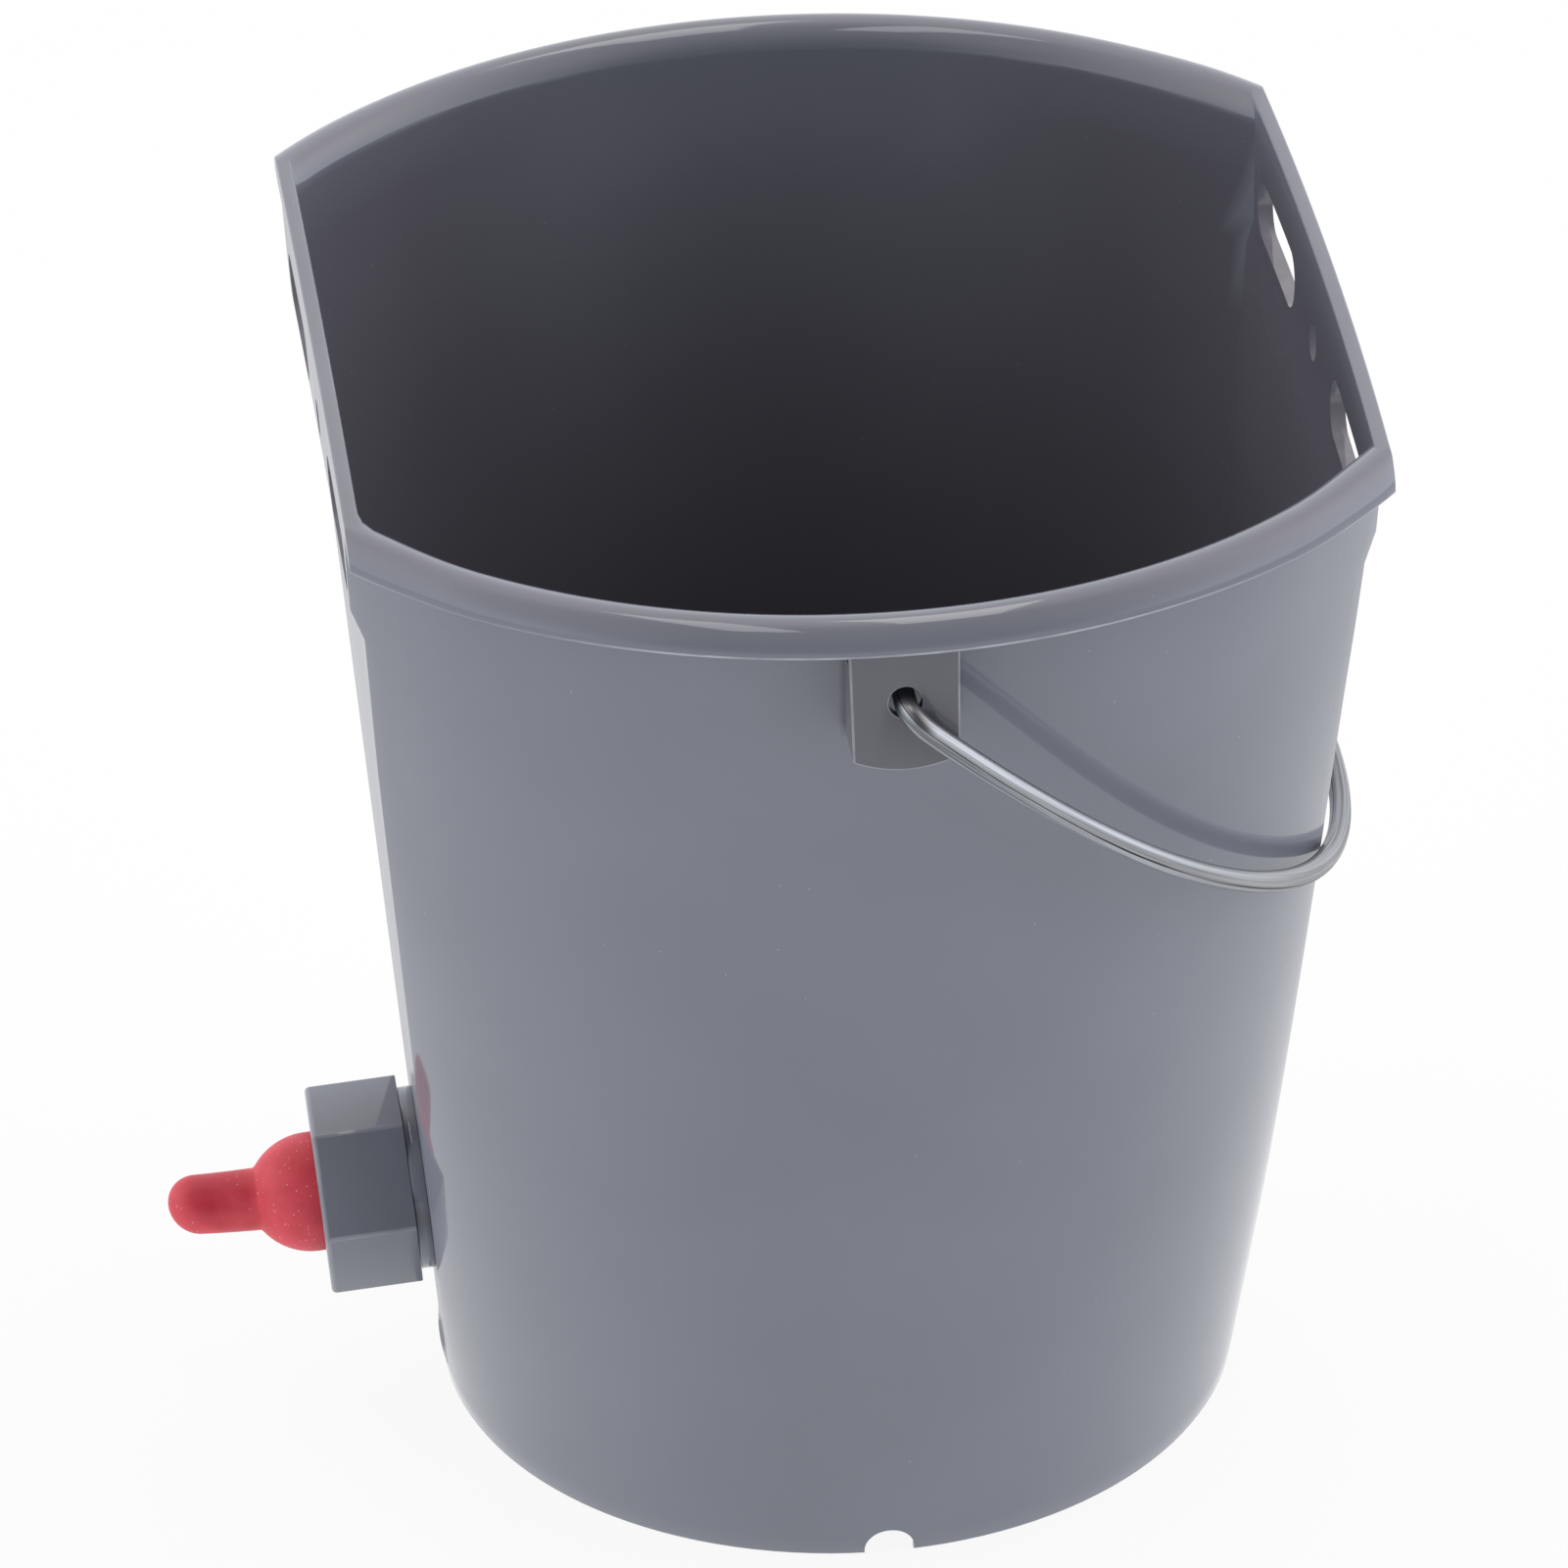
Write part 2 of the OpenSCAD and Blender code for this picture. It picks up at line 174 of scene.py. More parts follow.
# Bail
HINGE_Z = joints["bail_swing"]["pos_m"][2] / MM
BAIL_DIP = math.radians(42.6)
WIRE_R = 2.4
WIRE_SIDES = 20
WIRE_SAG = 0.75
SAG_X = (60.0, 130.0)
BOW_R = LIP_OUT_R + 3.8
BOW_STRETCH = 0.0345
BOW_STEPS = 120
BEND_R = 5.5
BEND_STEPS = 14
WIRE_END = EAR_FACE - 8.0
STREAK_LENGTH = 90.0
STREAK_WIDTH = 1.0

# Valve, union nut and teat, along the valve's axis from the face of the flat side
VALVE_POS = Vector(joints["union_nut_turn"]["pos_m"]) / MM
VALVE_AXIS = Vector(joints["union_nut_turn"]["axis"]).normalized()
VALVE_ROWS = (Vector((0, 1, 0)).cross(VALVE_AXIS), Vector((0, 1, 0)), VALVE_AXIS)
VALVE = Matrix.Translation(VALVE_POS) @ Matrix(VALVE_ROWS).transposed().to_4x4()
VALVE_COLUMNS = 96
VALVE_HOLE_GAP = 0.3
STEM_R = 15.0
STEM_IN = 11.0
STEM_GAP = 0.1
INLET_R = 4.5
SEAT_LOW = -0.9
SEAT_TOP = 1.5
BALL_BORE_R = 6.8
STOP_R = 10.9
STOP_DEPTH = 3.25
COLLAR_R = 21.0
COLLAR_FROM = 0.9
COLLAR_TO = 3.2
COLLAR_ROUND = 0.15
SKIRT_END = 0.02
SKIRT_T = 0.7
SKIRT_ROUND = 0.2
BARREL_END = 17.3
BARREL_CHAMFER = 0.6
CORE_R = 15.2
THREAD_R = 16.5
THREAD_PITCH = 3.0
THREAD_FOOT = 0.27 * THREAD_PITCH
THREAD_CREST = 0.12 * THREAD_PITCH
THREAD_SINK = 0.3
THREAD_STEPS = 48
NUT_FROM = 3.3
NUT_END = 21.3
NUT_TO = 24.3
NUT_BORE_R = 16.9
NUT_CHAMFER = 0.5
NUT_FLAT_R = 20.8
NUT_TURN = math.radians(34.3)
LOCK_FLAT_R = 20.5
LOCK_FROM = -8.85
LOCK_TO = -2.35
GASKET_R = 20.1
GASKET_FROM = 0.05
GASKET_TO = 0.85
FLANGE_R = 15.2
FLANGE_FROM = 17.6
FLANGE_TO = 21.0
FLANGE_ROUND = 0.3
TEAT_BORE_R = 11.0
TEAT_GAP = 0.4
BULB_R = 13.7
BULB_CENTRE = (-1.4, 25.8)
BULB_ROUND = BULB_R - BULB_CENTRE[0]
BULB_INNER_ROUND = 12.5
BULB_FROM = 23.5
TIP_R = 7.2
TIP_FROM = 38.4
TIP_END_R = 6.85
TIP_BORE_R = 4.2
MILK_HOLE_R = 0.7
TEAT_END = 58.7
TEAT_COLUMNS = 72
TEAT_BEND = 1.5
TEAT_BEND_FROM = 33.0


def wall_r(z):
    return BASE_R + WALL_SLOPE * z


def flat_x(z):
    return FLAT_LOW_X + FLAT_SLOPE * (z - FOOT_H)


def panel_share(z):
    """0 on the flat side, 1 on the panel above its shoulder."""
    return min(1.0, max(0.0, (z - SHOULDER_Z) / (PANEL_Z - SHOULDER_Z)))


def rim_pull(z):
    """How far the rounded top edge of a panel lies back from its face."""
    rise = max(0.0, z - (HEIGHT - RIM_ROUND))
    return RIM_ROUND - math.sqrt(max(0.0, RIM_ROUND ** 2 - rise ** 2))


def outer_flat(z):
    return flat_x(z) + PANEL_STEP * panel_share(z) - rim_pull(z)


def inner_flat(z):
    share = panel_share(z)
    return (1 - share) * (flat_x(z) - WALL) + share * (flat_x(z) + PANEL_STEP - PANEL_T) + rim_pull(z)


def arc(centre, radius, start, end, steps):
    """Points on an arc, with its angles in degrees."""
    turns = [math.radians(start + (end - start) * i / steps) for i in range(steps + 1)]
    return [(centre[0] + radius * math.cos(t), centre[1] + radius * math.sin(t)) for t in turns]


def circle(radius, points=36):
    return arc((0, 0), radius, 0, 360 - 360 / points, points - 1)


def ease(value, low, high):
    """0 up to low, 1 from high on, and a soft step between."""
    share = min(1.0, max(0.0, (value - low) / (high - low)))
    return share * share * (3 - 2 * share)


# Modelling helpers

# Turns a prism so that it runs towards -Y.
ALONG_Y = Matrix.Rotation(math.radians(90), 4, "X")


def spun(section, columns=COLUMNS, flats=()):
    """A closed solid of revolution about Z from points (radius, height), which keep their flats values."""
    bm = bmesh.new()
    layer = bm.verts.layers.float.new("flat") if flats else None
    verts = [bm.verts.new((r, 0, z)) for r, z in section]
    for vert, value in zip(verts, flats):
        vert[layer] = value
    edges = [bm.edges.new(pair) for pair in zip(verts, verts[1:])]
    bmesh.ops.spin(bm, geom=verts + edges, cent=(0, 0, 0), axis=(0, 0, 1), angle=2 * math.pi,
                   steps=columns, use_merge=True)
    bmesh.ops.remove_doubles(bm, verts=bm.verts, dist=MERGE)
    bmesh.ops.recalc_face_normals(bm, faces=bm.faces)
    return bm


def bevel(bm, edges, width, segments, highlight=0.0):
    """Rounds edges, and marks the new faces with how much painted highlight they get."""
    edge_light = bm.faces.layers.float.get("painted_edge_highlight") or bm.faces.layers.float.new("painted_edge_highlight")
    rounded = bmesh.ops.bevel(bm, geom=edges, offset=width, offset_type="OFFSET", segments=segments,
                              profile=0.5, affect="EDGES", clamp_overlap=True, material=-1)
    for face in rounded["faces"]:
        face[edge_light] = highlight


def extruded(outline, depth):
    """A prism: the outline's points (x, y) lie at z = 0, and it rises to z = depth."""
    bm = bmesh.new()
    face = bm.faces.new([bm.verts.new((x, y, 0)) for x, y in outline])
    grown = bmesh.ops.extrude_face_region(bm, geom=[face])["geom"]
    raised = [v for v in grown if isinstance(v, bmesh.types.BMVert)]
    bmesh.ops.translate(bm, verts=raised, vec=(0, 0, depth))
    bmesh.ops.recalc_face_normals(bm, faces=bm.faces)
    return bm


def stadium(length, width):
    """The outline of a slot with round ends, along x."""
    half = (length - width) / 2
    return arc((half, 0), width / 2, -90, 90, 16) + arc((-half, 0), width / 2, 90, 270, 16)


def placed(bm, matrix):
    bmesh.ops.transform(bm, matrix=matrix, verts=bm.verts)
    return bm


def joined(*parts):
    """Several bmeshes as one."""
    whole = bmesh.new()
    for part in parts:
        mesh = bpy.data.meshes.new("part")
        part.to_mesh(mesh)
        part.free()
        whole.from_mesh(mesh)
        bpy.data.meshes.remove(mesh)
    return whole


def combined(bm, other, operation):
    """The solid bm with the solid other added to it or cut out of it. Both are used up."""
    objects = []
    for name, source in (("base", bm), ("tool", other)):
        mesh = bpy.data.meshes.new(name)
        source.to_mesh(mesh)
        source.free()
        objects.append(bpy.data.objects.new(name, mesh))
        bpy.context.scene.collection.objects.link(objects[-1])
    base, tool = objects
    boolean = base.modifiers.new("combine", "BOOLEAN")
    boolean.operation = operation
    boolean.solver = "EXACT"
    boolean.object = tool
    result = bmesh.new()
    result.from_object(base, bpy.context.evaluated_depsgraph_get())
    for obj in objects:
        mesh = obj.data
        bpy.data.objects.remove(obj)
        bpy.data.meshes.remove(mesh)
    bmesh.ops.remove_doubles(result, verts=result.verts, dist=10 * MERGE)
    return result


def piece(name, bm, finish, body, nodes, sharp=38):
    """A finished piece of the object: in metres, shaded, riding on its body in the place of its solids."""
    bmesh.ops.scale(bm, vec=(MM, MM, MM), verts=bm.verts)
    mesh = bpy.data.meshes.new(name)
    bm.to_mesh(mesh)
    bm.free()
    mesh.shade_smooth()
    mesh.set_sharp_from_angle(angle=math.radians(sharp))
    mesh.materials.append(finish)
    obj = bpy.data.objects.new(name, mesh)
    bpy.context.scene.collection.objects.link(obj)
    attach(obj, body)
    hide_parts(*nodes)
    return obj


# Pail

def shell_section():
    """Points (radius, height, flat) from the middle of the underside, over the lip, to the middle of the
    floor. flat is how far out the flat sides lie there, or FAR where the pail is round."""
    foot_in = BASE_R - WALL
    underside = [(0, BASE_Z)] + arc((foot_in - FOOT_ROUND, BASE_Z - FOOT_ROUND), FOOT_ROUND, 90, 0, 4)
    foot = [(foot_in, FOOT_CHAMFER), (foot_in + FOOT_CHAMFER, 0), (BASE_R - 0.8, 0),
            (wall_r(0.3) - 0.25, 0.25), (wall_r(0.9), 0.9)]
    foot += [(wall_r(z), z) for z in (FOOT_H - 0.9, FOOT_H - 0.3)]
    section = [(r, z, FAR) for r, z in underside + foot]
    levels = [FOOT_H + 0.6] + [LEVEL_STEP * i for i in range(1, 12)]
    levels += [SHOULDER_Z, PANEL_Z, PANEL_MID_Z, LIP_Z - 0.6]
    section += [(wall_r(z), z, outer_flat(z)) for z in levels]
    edge = arc((LIP_OUT_R - LIP_EDGE_ROUND, LIP_EDGE_Z), LIP_EDGE_ROUND, -90, 0, 4)
    roll = arc((LIP_MID_R, LIP_Z), LIP_R, 12, 87, 12)
    section += [(r, z, outer_flat(z)) for r, z in edge + roll]
    inner_roll = arc((LIP_MID_R, LIP_Z), LIP_R, 93, 180, 14)
    section += [(r, z, inner_flat(z)) for r, z in inner_roll]
    section += [(wall_r(z) - WALL, z, inner_flat(z)) for z in reversed(levels[1:-1])]
    low = FLOOR_Z + FLOOR_ROUND
    fillet = arc((wall_r(low) - WALL - FLOOR_ROUND, low), FLOOR_ROUND, 0, -90, 5)
    section += [(r, z, inner_flat(z)) for r, z in fillet]
    section += [(FLOOR_FLAT_R, FLOOR_Z, FAR), (0, FLOOR_Z, FAR)]
    return section


def press_flats(bm):
    """Moves the columns of the round pail so that one runs along each corner, presses the two sides flat
    and rounds the corners. The inner corner at the front, beside the teat, is softer than the others."""
    flat_layer = bm.verts.layers.float["flat"]
    corners, soft = set(), set()
    for vert in bm.verts:
        r = math.hypot(vert.co.x, vert.co.y)
        if r < MERGE:
            continue
        flat = vert[flat_layer]
        turn = math.atan2(abs(vert.co.y), abs(vert.co.x))
        corner = max(math.acos(min(1.0, flat / r)), LEAST_CORNER)
        if turn <= CORNER_COLUMN + MERGE:
            new = corner * turn / CORNER_COLUMN
        else:
            new = corner + (turn - CORNER_COLUMN) * (math.pi / 2 - corner) / (math.pi / 2 - CORNER_COLUMN)
        if abs(turn - CORNER_COLUMN) < MERGE and flat < FAR:
            corners.add(vert)
            inside = flat < outer_flat(vert.co.z) - WALL / 2
            if vert.co.x < 0 and vert.co.y < 0 and inside:
                soft.add(vert)
        vert.co.x = math.copysign(min(r * math.cos(new), flat), vert.co.x)
        vert.co.y = math.copysign(r * math.sin(new), vert.co.y)
    bm.normal_update()
    for vert in soft:
        around = [e.other_vert(vert).co for e in vert.link_edges]
        beside = [co for co in around if abs(co.z - vert.co.z) < TOUCH]
        if len(beside) == 2:
            vert.co = vert.co.lerp((beside[0] + beside[1]) / 2, SOFT_CORNER)
    creases = [e for e in bm.edges if e.verts[0] in corners and e.verts[1] in corners]
    bevel(bm, creases, CORNER_ROUND, segments=3)
    bm.verts.layers.float.remove(flat_layer)


def ear():
    """One ear at the -Y side: a face and two cheeks, open at the bottom, with the hole for the bail."""
    half = math.degrees(math.asin(EAR_W / 2 / EAR_EDGE_R))
    bottom = arc((0, EAR_LOW_Z + EAR_EDGE_R), EAR_EDGE_R, 270 - half, 270 + half, 10)
    outline = [(EAR_W / 2, EAR_TOP_Z), (-EAR_W / 2, EAR_TOP_Z)] + bottom
    inner = wall_r(EAR_LOW_Z) - WALL
    block = extruded(outline, EAR_FACE - inner)
    block.normal_update()

    def on_face(edge):
        return all(v.co.z > EAR_FACE - inner - TOUCH for v in edge.verts)

    def on_cheek(edge):
        return abs(abs(edge.verts[0].co.x) - EAR_W / 2) < TOUCH

    front = [e for e in block.edges if on_face(e) and min(v.co.y for v in e.verts) < LIP_Z]
    deep = [e for e in block.edges if abs(e.verts[0].co.z - e.verts[1].co.z) > EAR_T]
    cheeks = [e for e in deep if e.verts[0].co.y < LIP_Z and on_cheek(e)]
    # The face's edges and the cheeks' edges get a full painted highlight.
    bevel(block, front + cheeks, EAR_ROUND, segments=3, highlight=1.0)
    placed(block, Matrix.Translation((0, -inner, 0)) @ ALONG_Y)
    pocket = bmesh.new()
    bmesh.ops.create_cube(pocket, size=1)
    depth = EAR_FACE - EAR_T - inner + 2 * CUT_SPARE
    roof = LIP_Z - EAR_T
    size = (EAR_W - 2 * EAR_T, depth, roof - EAR_LOW_Z + CUT_SPARE)
    bmesh.ops.scale(pocket, vec=size, verts=pocket.verts)
    middle = (roof + EAR_LOW_Z - CUT_SPARE) / 2
    bmesh.ops.translate(pocket, vec=(0, depth / 2 + EAR_T - EAR_FACE, middle), verts=pocket.verts)
    hole = placed(extruded(circle(EAR_HOLE_R), FAR), Matrix.Translation((0, 0, EAR_HOLE_Z)) @ ALONG_Y)
    low = EAR_LOW_Z - 2 * CUT_SPARE
    high = LIP_Z + CUT_SPARE / 2
    core = spun([(0, low), (wall_r(low) - WALL / 2, low), (wall_r(high) - WALL / 2, high), (0, high)])
    hollow = combined(block, pocket, "DIFFERENCE")
    hollow = combined(hollow, hole, "DIFFERENCE")

    def on_hole(vert):
        off_hole = math.hypot(vert.co.x, vert.co.z - EAR_HOLE_Z) - EAR_HOLE_R
        return abs(vert.co.y + EAR_FACE) < TOUCH and abs(off_hole) < 5 * TOUCH

    rim = [e for e in hollow.edges if all(on_hole(v) for v in e.verts)]
    # The hole's rim gets a full painted highlight.
    bevel(hollow, rim, EAR_HOLE_ROUND, segments=2, highlight=1.0)
    for vert in hollow.verts:
        drop = LIP_Z - vert.co.z
        vert.co.x *= 1 - EAR_TAPER * drop / (LIP_Z - EAR_LOW_Z)
        vert.co.x -= EAR_SHIFT
        if vert.co.y < EAR_T * 2 - EAR_FACE:
            vert.co.y -= EAR_LEAN * drop
    return combined(hollow, core, "DIFFERENCE")


def across_x(bm, x, y, z):
    """Turns a prism so that it runs along X, with its outline's x along Y, and puts it in place."""
    turn = Matrix(((0, 0, 1, 0), (1, 0, 0, 0), (0, 1, 0, 0), (0, 0, 0, 1)))
    return placed(bm, Matrix.Translation((x, y, z)) @ turn)


def lip_grooves():
    """The hollow under the lip, as one tool for the back and one for the front."""
    low = LIP_Z - GROOVE_DROP
    outline = [(LIP_MID_R + GROOVE_R, low)] + arc((LIP_MID_R, LIP_Z), GROOVE_R, 0, 180, 12)
    outline.append((LIP_MID_R - GROOVE_R, low))
    grooves = []
    for start in GROOVE_STARTS:
        groove = bmesh.new()
        face = groove.faces.new([groove.verts.new((r, 0, z)) for r, z in outline])
        bmesh.ops.spin(groove, geom=[face], cent=(0, 0, 0), axis=(0, 0, 1),
                       angle=math.radians(GROOVE_SWEEP), steps=GROOVE_STEPS)
        bmesh.ops.rotate(groove, cent=(0, 0, 0), matrix=Matrix.Rotation(math.radians(start), 3, "Z"),
                         verts=groove.verts)
        bmesh.ops.recalc_face_normals(groove, faces=groove.faces)
        grooves.append(groove)
    return grooves


def shell_cuts():
    """All that is cut out of the pail: slots, peg holes, drain notch, valve hole and lip grooves."""
    slots = [across_x(extruded(stadium(SLOT_LEN, SLOT_W), FAR), -FAR / 2, end * SLOT_Y, SLOT_Z)
             for end in (-1, 1)]
    pegs = across_x(extruded(circle(PEG_R), FAR), -FAR / 2, 0, SLOT_Z)
    notch_place = Matrix.Translation((0, -BASE_R + NOTCH_DEPTH, NOTCH_TOP - NOTCH_R))
    notch = placed(extruded(circle(NOTCH_R), NOTCH_LENGTH), notch_place @ ALONG_Y)
    valve_hole = placed(extruded(circle(STEM_R + VALVE_HOLE_GAP, 60), 2 * CUT_SPARE),
                        VALVE @ Matrix.Translation((0, 0, -CUT_SPARE)))
    return joined(*slots, pegs, notch, valve_hole, *lip_grooves())


def panel_warp(x, y, z):
    """How far the moulding has warped outwards there. The bail-side panel bows and stands further out at the
    back; the teat-side panel is turned a little and leans inwards at the top."""
    along = min(WARP_END_Y, max(-WARP_END_Y, y)) / WARP_HALF_Y
    bow = 1 - along * along
    if x > 0:
        drop = HEIGHT - max(z, PANEL_Z)
        out = BAIL_PANEL_OUT + BAIL_PANEL_BOW * bow + BAIL_PANEL_TURN * along + BAIL_PANEL_LEAN * drop
    else:
        out = TEAT_PANEL_TURN * along + TEAT_PANEL_BOW * bow + TEAT_PANEL_LEAN * ease(z, PANEL_Z, HEIGHT)
    return out * ease(z, WARP_LOW_Z, PANEL_Z) * ease(abs(x), *WARP_X)


def mark_painted_highlights(bm):
    """Marks painted light on the walls of the slots and peg holes, and a painted highlight along the
    lip's lower edge.
    """
    edge_light = bm.faces.layers.float["painted_edge_highlight"]
    bm.normal_update()
    for face in bm.faces:
        x, y, z = face.calc_center_median()
        past_end = max(0.0, abs(abs(y) - SLOT_Y) - (SLOT_LEN - SLOT_W) / 2)
        off_slot = abs(math.hypot(past_end, z - SLOT_Z) - SLOT_W / 2)
        off_hole = abs(math.hypot(y, z - SLOT_Z) - PEG_R)
        in_panel = abs(x) > SLOT_LEAST_X and abs(face.normal.x) < LOOKS_AWAY
        # Painted light on the walls of the slots and peg holes
        if in_panel and min(off_slot, off_hole) < SLOT_WALL_REACH:
            face[edge_light] = SLOT_WALL_LIGHT
        # Painted highlight along the lip's lower edge, fading out towards the flat sides
        on_lip = math.hypot(x, y) > LIP_OUT_R - LIP_EDGE_REACH and abs(x) < FLAT_LOW_X
        if on_lip and LIP_EDGE_Z - LIP_EDGE_REACH < z < LIP_EDGE_Z:
            face[edge_light] = LIP_EDGE_HIGHLIGHT * (1 - ease(abs(x), LIP_HIGHLIGHT_X, FLAT_LOW_X))


def mark_painted_shade(bm):
    """Marks painted shade on the inside, most at the bottom and on the flat sides, and on the ears. The outer
    faces of the flat sides are marked as matt."""
    painted_shade = bm.verts.layers.float.new("painted_shade")
    matt = bm.faces.layers.float.new("matt")
    for face in bm.faces:
        x, y, z = face.calc_center_median()
        r = math.hypot(x, y)
        inside = FLOOR_Z - TOUCH < z and r < wall_r(z) - WALL / 2
        if inside and face.normal.dot((x, y, -r)) < LOOKS_AWAY * r:
            # Painted shade: darkest low down and beside the flat sides, lighter higher up at the front and
            # back, gone at the rim
            shade_lift = SHADE_LIFT * (1 - ease(abs(x), *SHADE_LIFT_X))
            for vert in face.verts:
                shade_depth = 1 - shade_lift * ease(vert.co.z, *SHADE_LIFT_Z)
                vert[painted_shade] = shade_depth * (1 - ease(vert.co.z, *SHADE_FADE_RIM_Z))
        # Painted shade on the ears
        elif r > wall_r(z) + EAR_OFF_WALL and z < EAR_SHADE_TOP:
            for vert in face.verts:
                vert[painted_shade] = EAR_SHADE
        elif abs(face.normal.x) > LOOKS_ALONG:
            face[matt] = 1.0


def pail():
    section = shell_section()
    bm = spun([(r, z) for r, z, _ in section], flats=[flat for _, _, flat in section])
    press_flats(bm)
    for vert in bm.verts:
        vert.co.x += math.copysign(1, vert.co.x) * panel_warp(*vert.co)
    ears = [ear(), placed(ear(), Matrix.Rotation(math.pi, 4, "Z"))]
    bm = combined(bm, joined(*ears), "UNION")
    bm = combined(bm, shell_cuts(), "DIFFERENCE")
    mark_painted_highlights(bm)
    mark_painted_shade(bm)
    return bm


# Bail

def bail_wire():
    """The bail's wire, bent in its own plane, then dipped to where it lies."""
    bend_y = math.sqrt(BOW_R ** 2 - 2 * BOW_R * BEND_R)
    bend_turn = math.asin(BEND_R / (BOW_R - BEND_R))
    bm = bmesh.new()
    bmesh.ops.create_circle(bm, cap_ends=True, segments=WIRE_SIDES, radius=WIRE_R,
                            matrix=Matrix.Translation((0, -WIRE_END, 0)) @ ALONG_Y)
    end = list(bm.faces)

    def straight(faces, y):
        grown = bmesh.ops.extrude_discrete_faces(bm, faces=faces)["faces"]
        bmesh.ops.translate(bm, verts=grown[0].verts, vec=(0, y, 0))
        return grown

    def bend(faces, cent, angle, steps):
        spin = bmesh.ops.spin(bm, geom=faces, cent=cent, axis=(0, 0, 1), angle=angle, steps=steps)
        return [f for f in spin["geom_last"] if isinstance(f, bmesh.types.BMFace)]

    end = straight(end, WIRE_END - bend_y)
    end = bend(end, (BEND_R, -bend_y, 0), math.pi / 2 + bend_turn, BEND_STEPS)
    end = bend(end, (0, 0, 0), math.pi - 2 * bend_turn, BOW_STEPS)
    end = bend(end, (BEND_R, bend_y, 0), math.pi / 2 + bend_turn, BEND_STEPS)
    straight(end, WIRE_END - bend_y)
    bmesh.ops.remove_doubles(bm, verts=bm.verts, dist=MERGE)
    bmesh.ops.recalc_face_normals(bm, faces=bm.faces)
    along = bm.verts.layers.float_vector.new("along_wire")
    for vert in bm.verts:
        x, y, z = vert.co
        if x * bend_y > abs(y) * BEND_R:
            side = math.hypot(x, y) - BOW_R
        elif abs(y) > bend_y:
            side = math.hypot(x - BEND_R, abs(y) - bend_y) - BEND_R
        else:
            side = -x
        vert[along] = Vector((math.atan2(y, x) * BOW_R, side / WIRE_R, z / WIRE_R))
        vert.co.x += BOW_STRETCH * x * BOW_R / math.hypot(x, y)
        vert.co.z -= WIRE_SAG * (1 - ease(x, *SAG_X))
    return placed(bm, Matrix.Translation((0, 0, HINGE_Z)) @ Matrix.Rotation(BAIL_DIP, 4, "Y"))


# Valve

def thread(root_r, crest_r, start, turns):
    """A screw thread's ridge about Z, with a right-hand pitch."""
    bm = bmesh.new()
    outline = [(root_r, -THREAD_FOOT), (crest_r, -THREAD_CREST), (crest_r, THREAD_CREST),
               (root_r, THREAD_FOOT)]
    face = bm.faces.new([bm.verts.new((r, 0, start + z)) for r, z in outline])
    bmesh.ops.spin(bm, geom=[face], cent=(0, 0, 0), axis=(0, 0, 1), angle=2 * math.pi * turns,
                   dvec=(0, 0, THREAD_PITCH / THREAD_STEPS), steps=int(THREAD_STEPS * turns))
    bmesh.ops.recalc_face_normals(bm, faces=bm.faces)
    return bm


def valve_body():
    stop_z = BARREL_END - STOP_DEPTH
    section = [(INLET_R, -STEM_IN), (STEM_R - BARREL_CHAMFER, -STEM_IN), (STEM_R, -STEM_IN + BARREL_CHAMFER),
               (STEM_R, COLLAR_FROM), (COLLAR_R - SKIRT_T, COLLAR_FROM), (COLLAR_R - SKIRT_T, SKIRT_END)]
    section += arc((COLLAR_R - SKIRT_ROUND, SKIRT_END + SKIRT_ROUND), SKIRT_ROUND, -90, 0, 3)
    section += arc((COLLAR_R - COLLAR_ROUND, COLLAR_TO - COLLAR_ROUND), COLLAR_ROUND, 0, 90, 3)
    section += [(CORE_R, COLLAR_TO), (CORE_R, BARREL_END - BARREL_CHAMFER),
                (CORE_R - BARREL_CHAMFER, BARREL_END), (STOP_R, BARREL_END), (STOP_R, stop_z),
                (BALL_BORE_R, stop_z), (BALL_BORE_R, SEAT_TOP), (INLET_R, SEAT_LOW), (INLET_R, -STEM_IN)]
    ridge = thread(CORE_R - THREAD_SINK, THREAD_R, start=COLLAR_TO + 1.5, turns=3.5)
    return placed(joined(spun(section, VALVE_COLUMNS), ridge), VALVE)


def hexagon(flat_r, low, high, turn, corner, top_round, foot_round):
    """A hexagonal block with rounded corners and rounded ends."""
    corner_r = flat_r / math.cos(math.pi / 6)
    turns = [turn + k * math.pi / 3 for k in range(6)]
    bm = extruded([(corner_r * math.cos(t), corner_r * math.sin(t)) for t in turns], high - low)
    bmesh.ops.translate(bm, verts=bm.verts, vec=(0, 0, low))
    bm.normal_update()
    sides = [e for e in bm.edges if abs(e.verts[0].co.z - e.verts[1].co.z) > 1]
    # The corners and the outer end get a faint painted highlight.
    bevel(bm, sides, corner, segments=3, highlight=0.3)
    top = [e for e in bm.edges if all(v.co.z > high - TOUCH for v in e.verts)]
    bevel(bm, top, top_round, segments=4, highlight=0.2)
    foot = [e for e in bm.edges if all(v.co.z < low + TOUCH for v in e.verts)]
    bevel(bm, foot, foot_round, segments=2)
    return bm


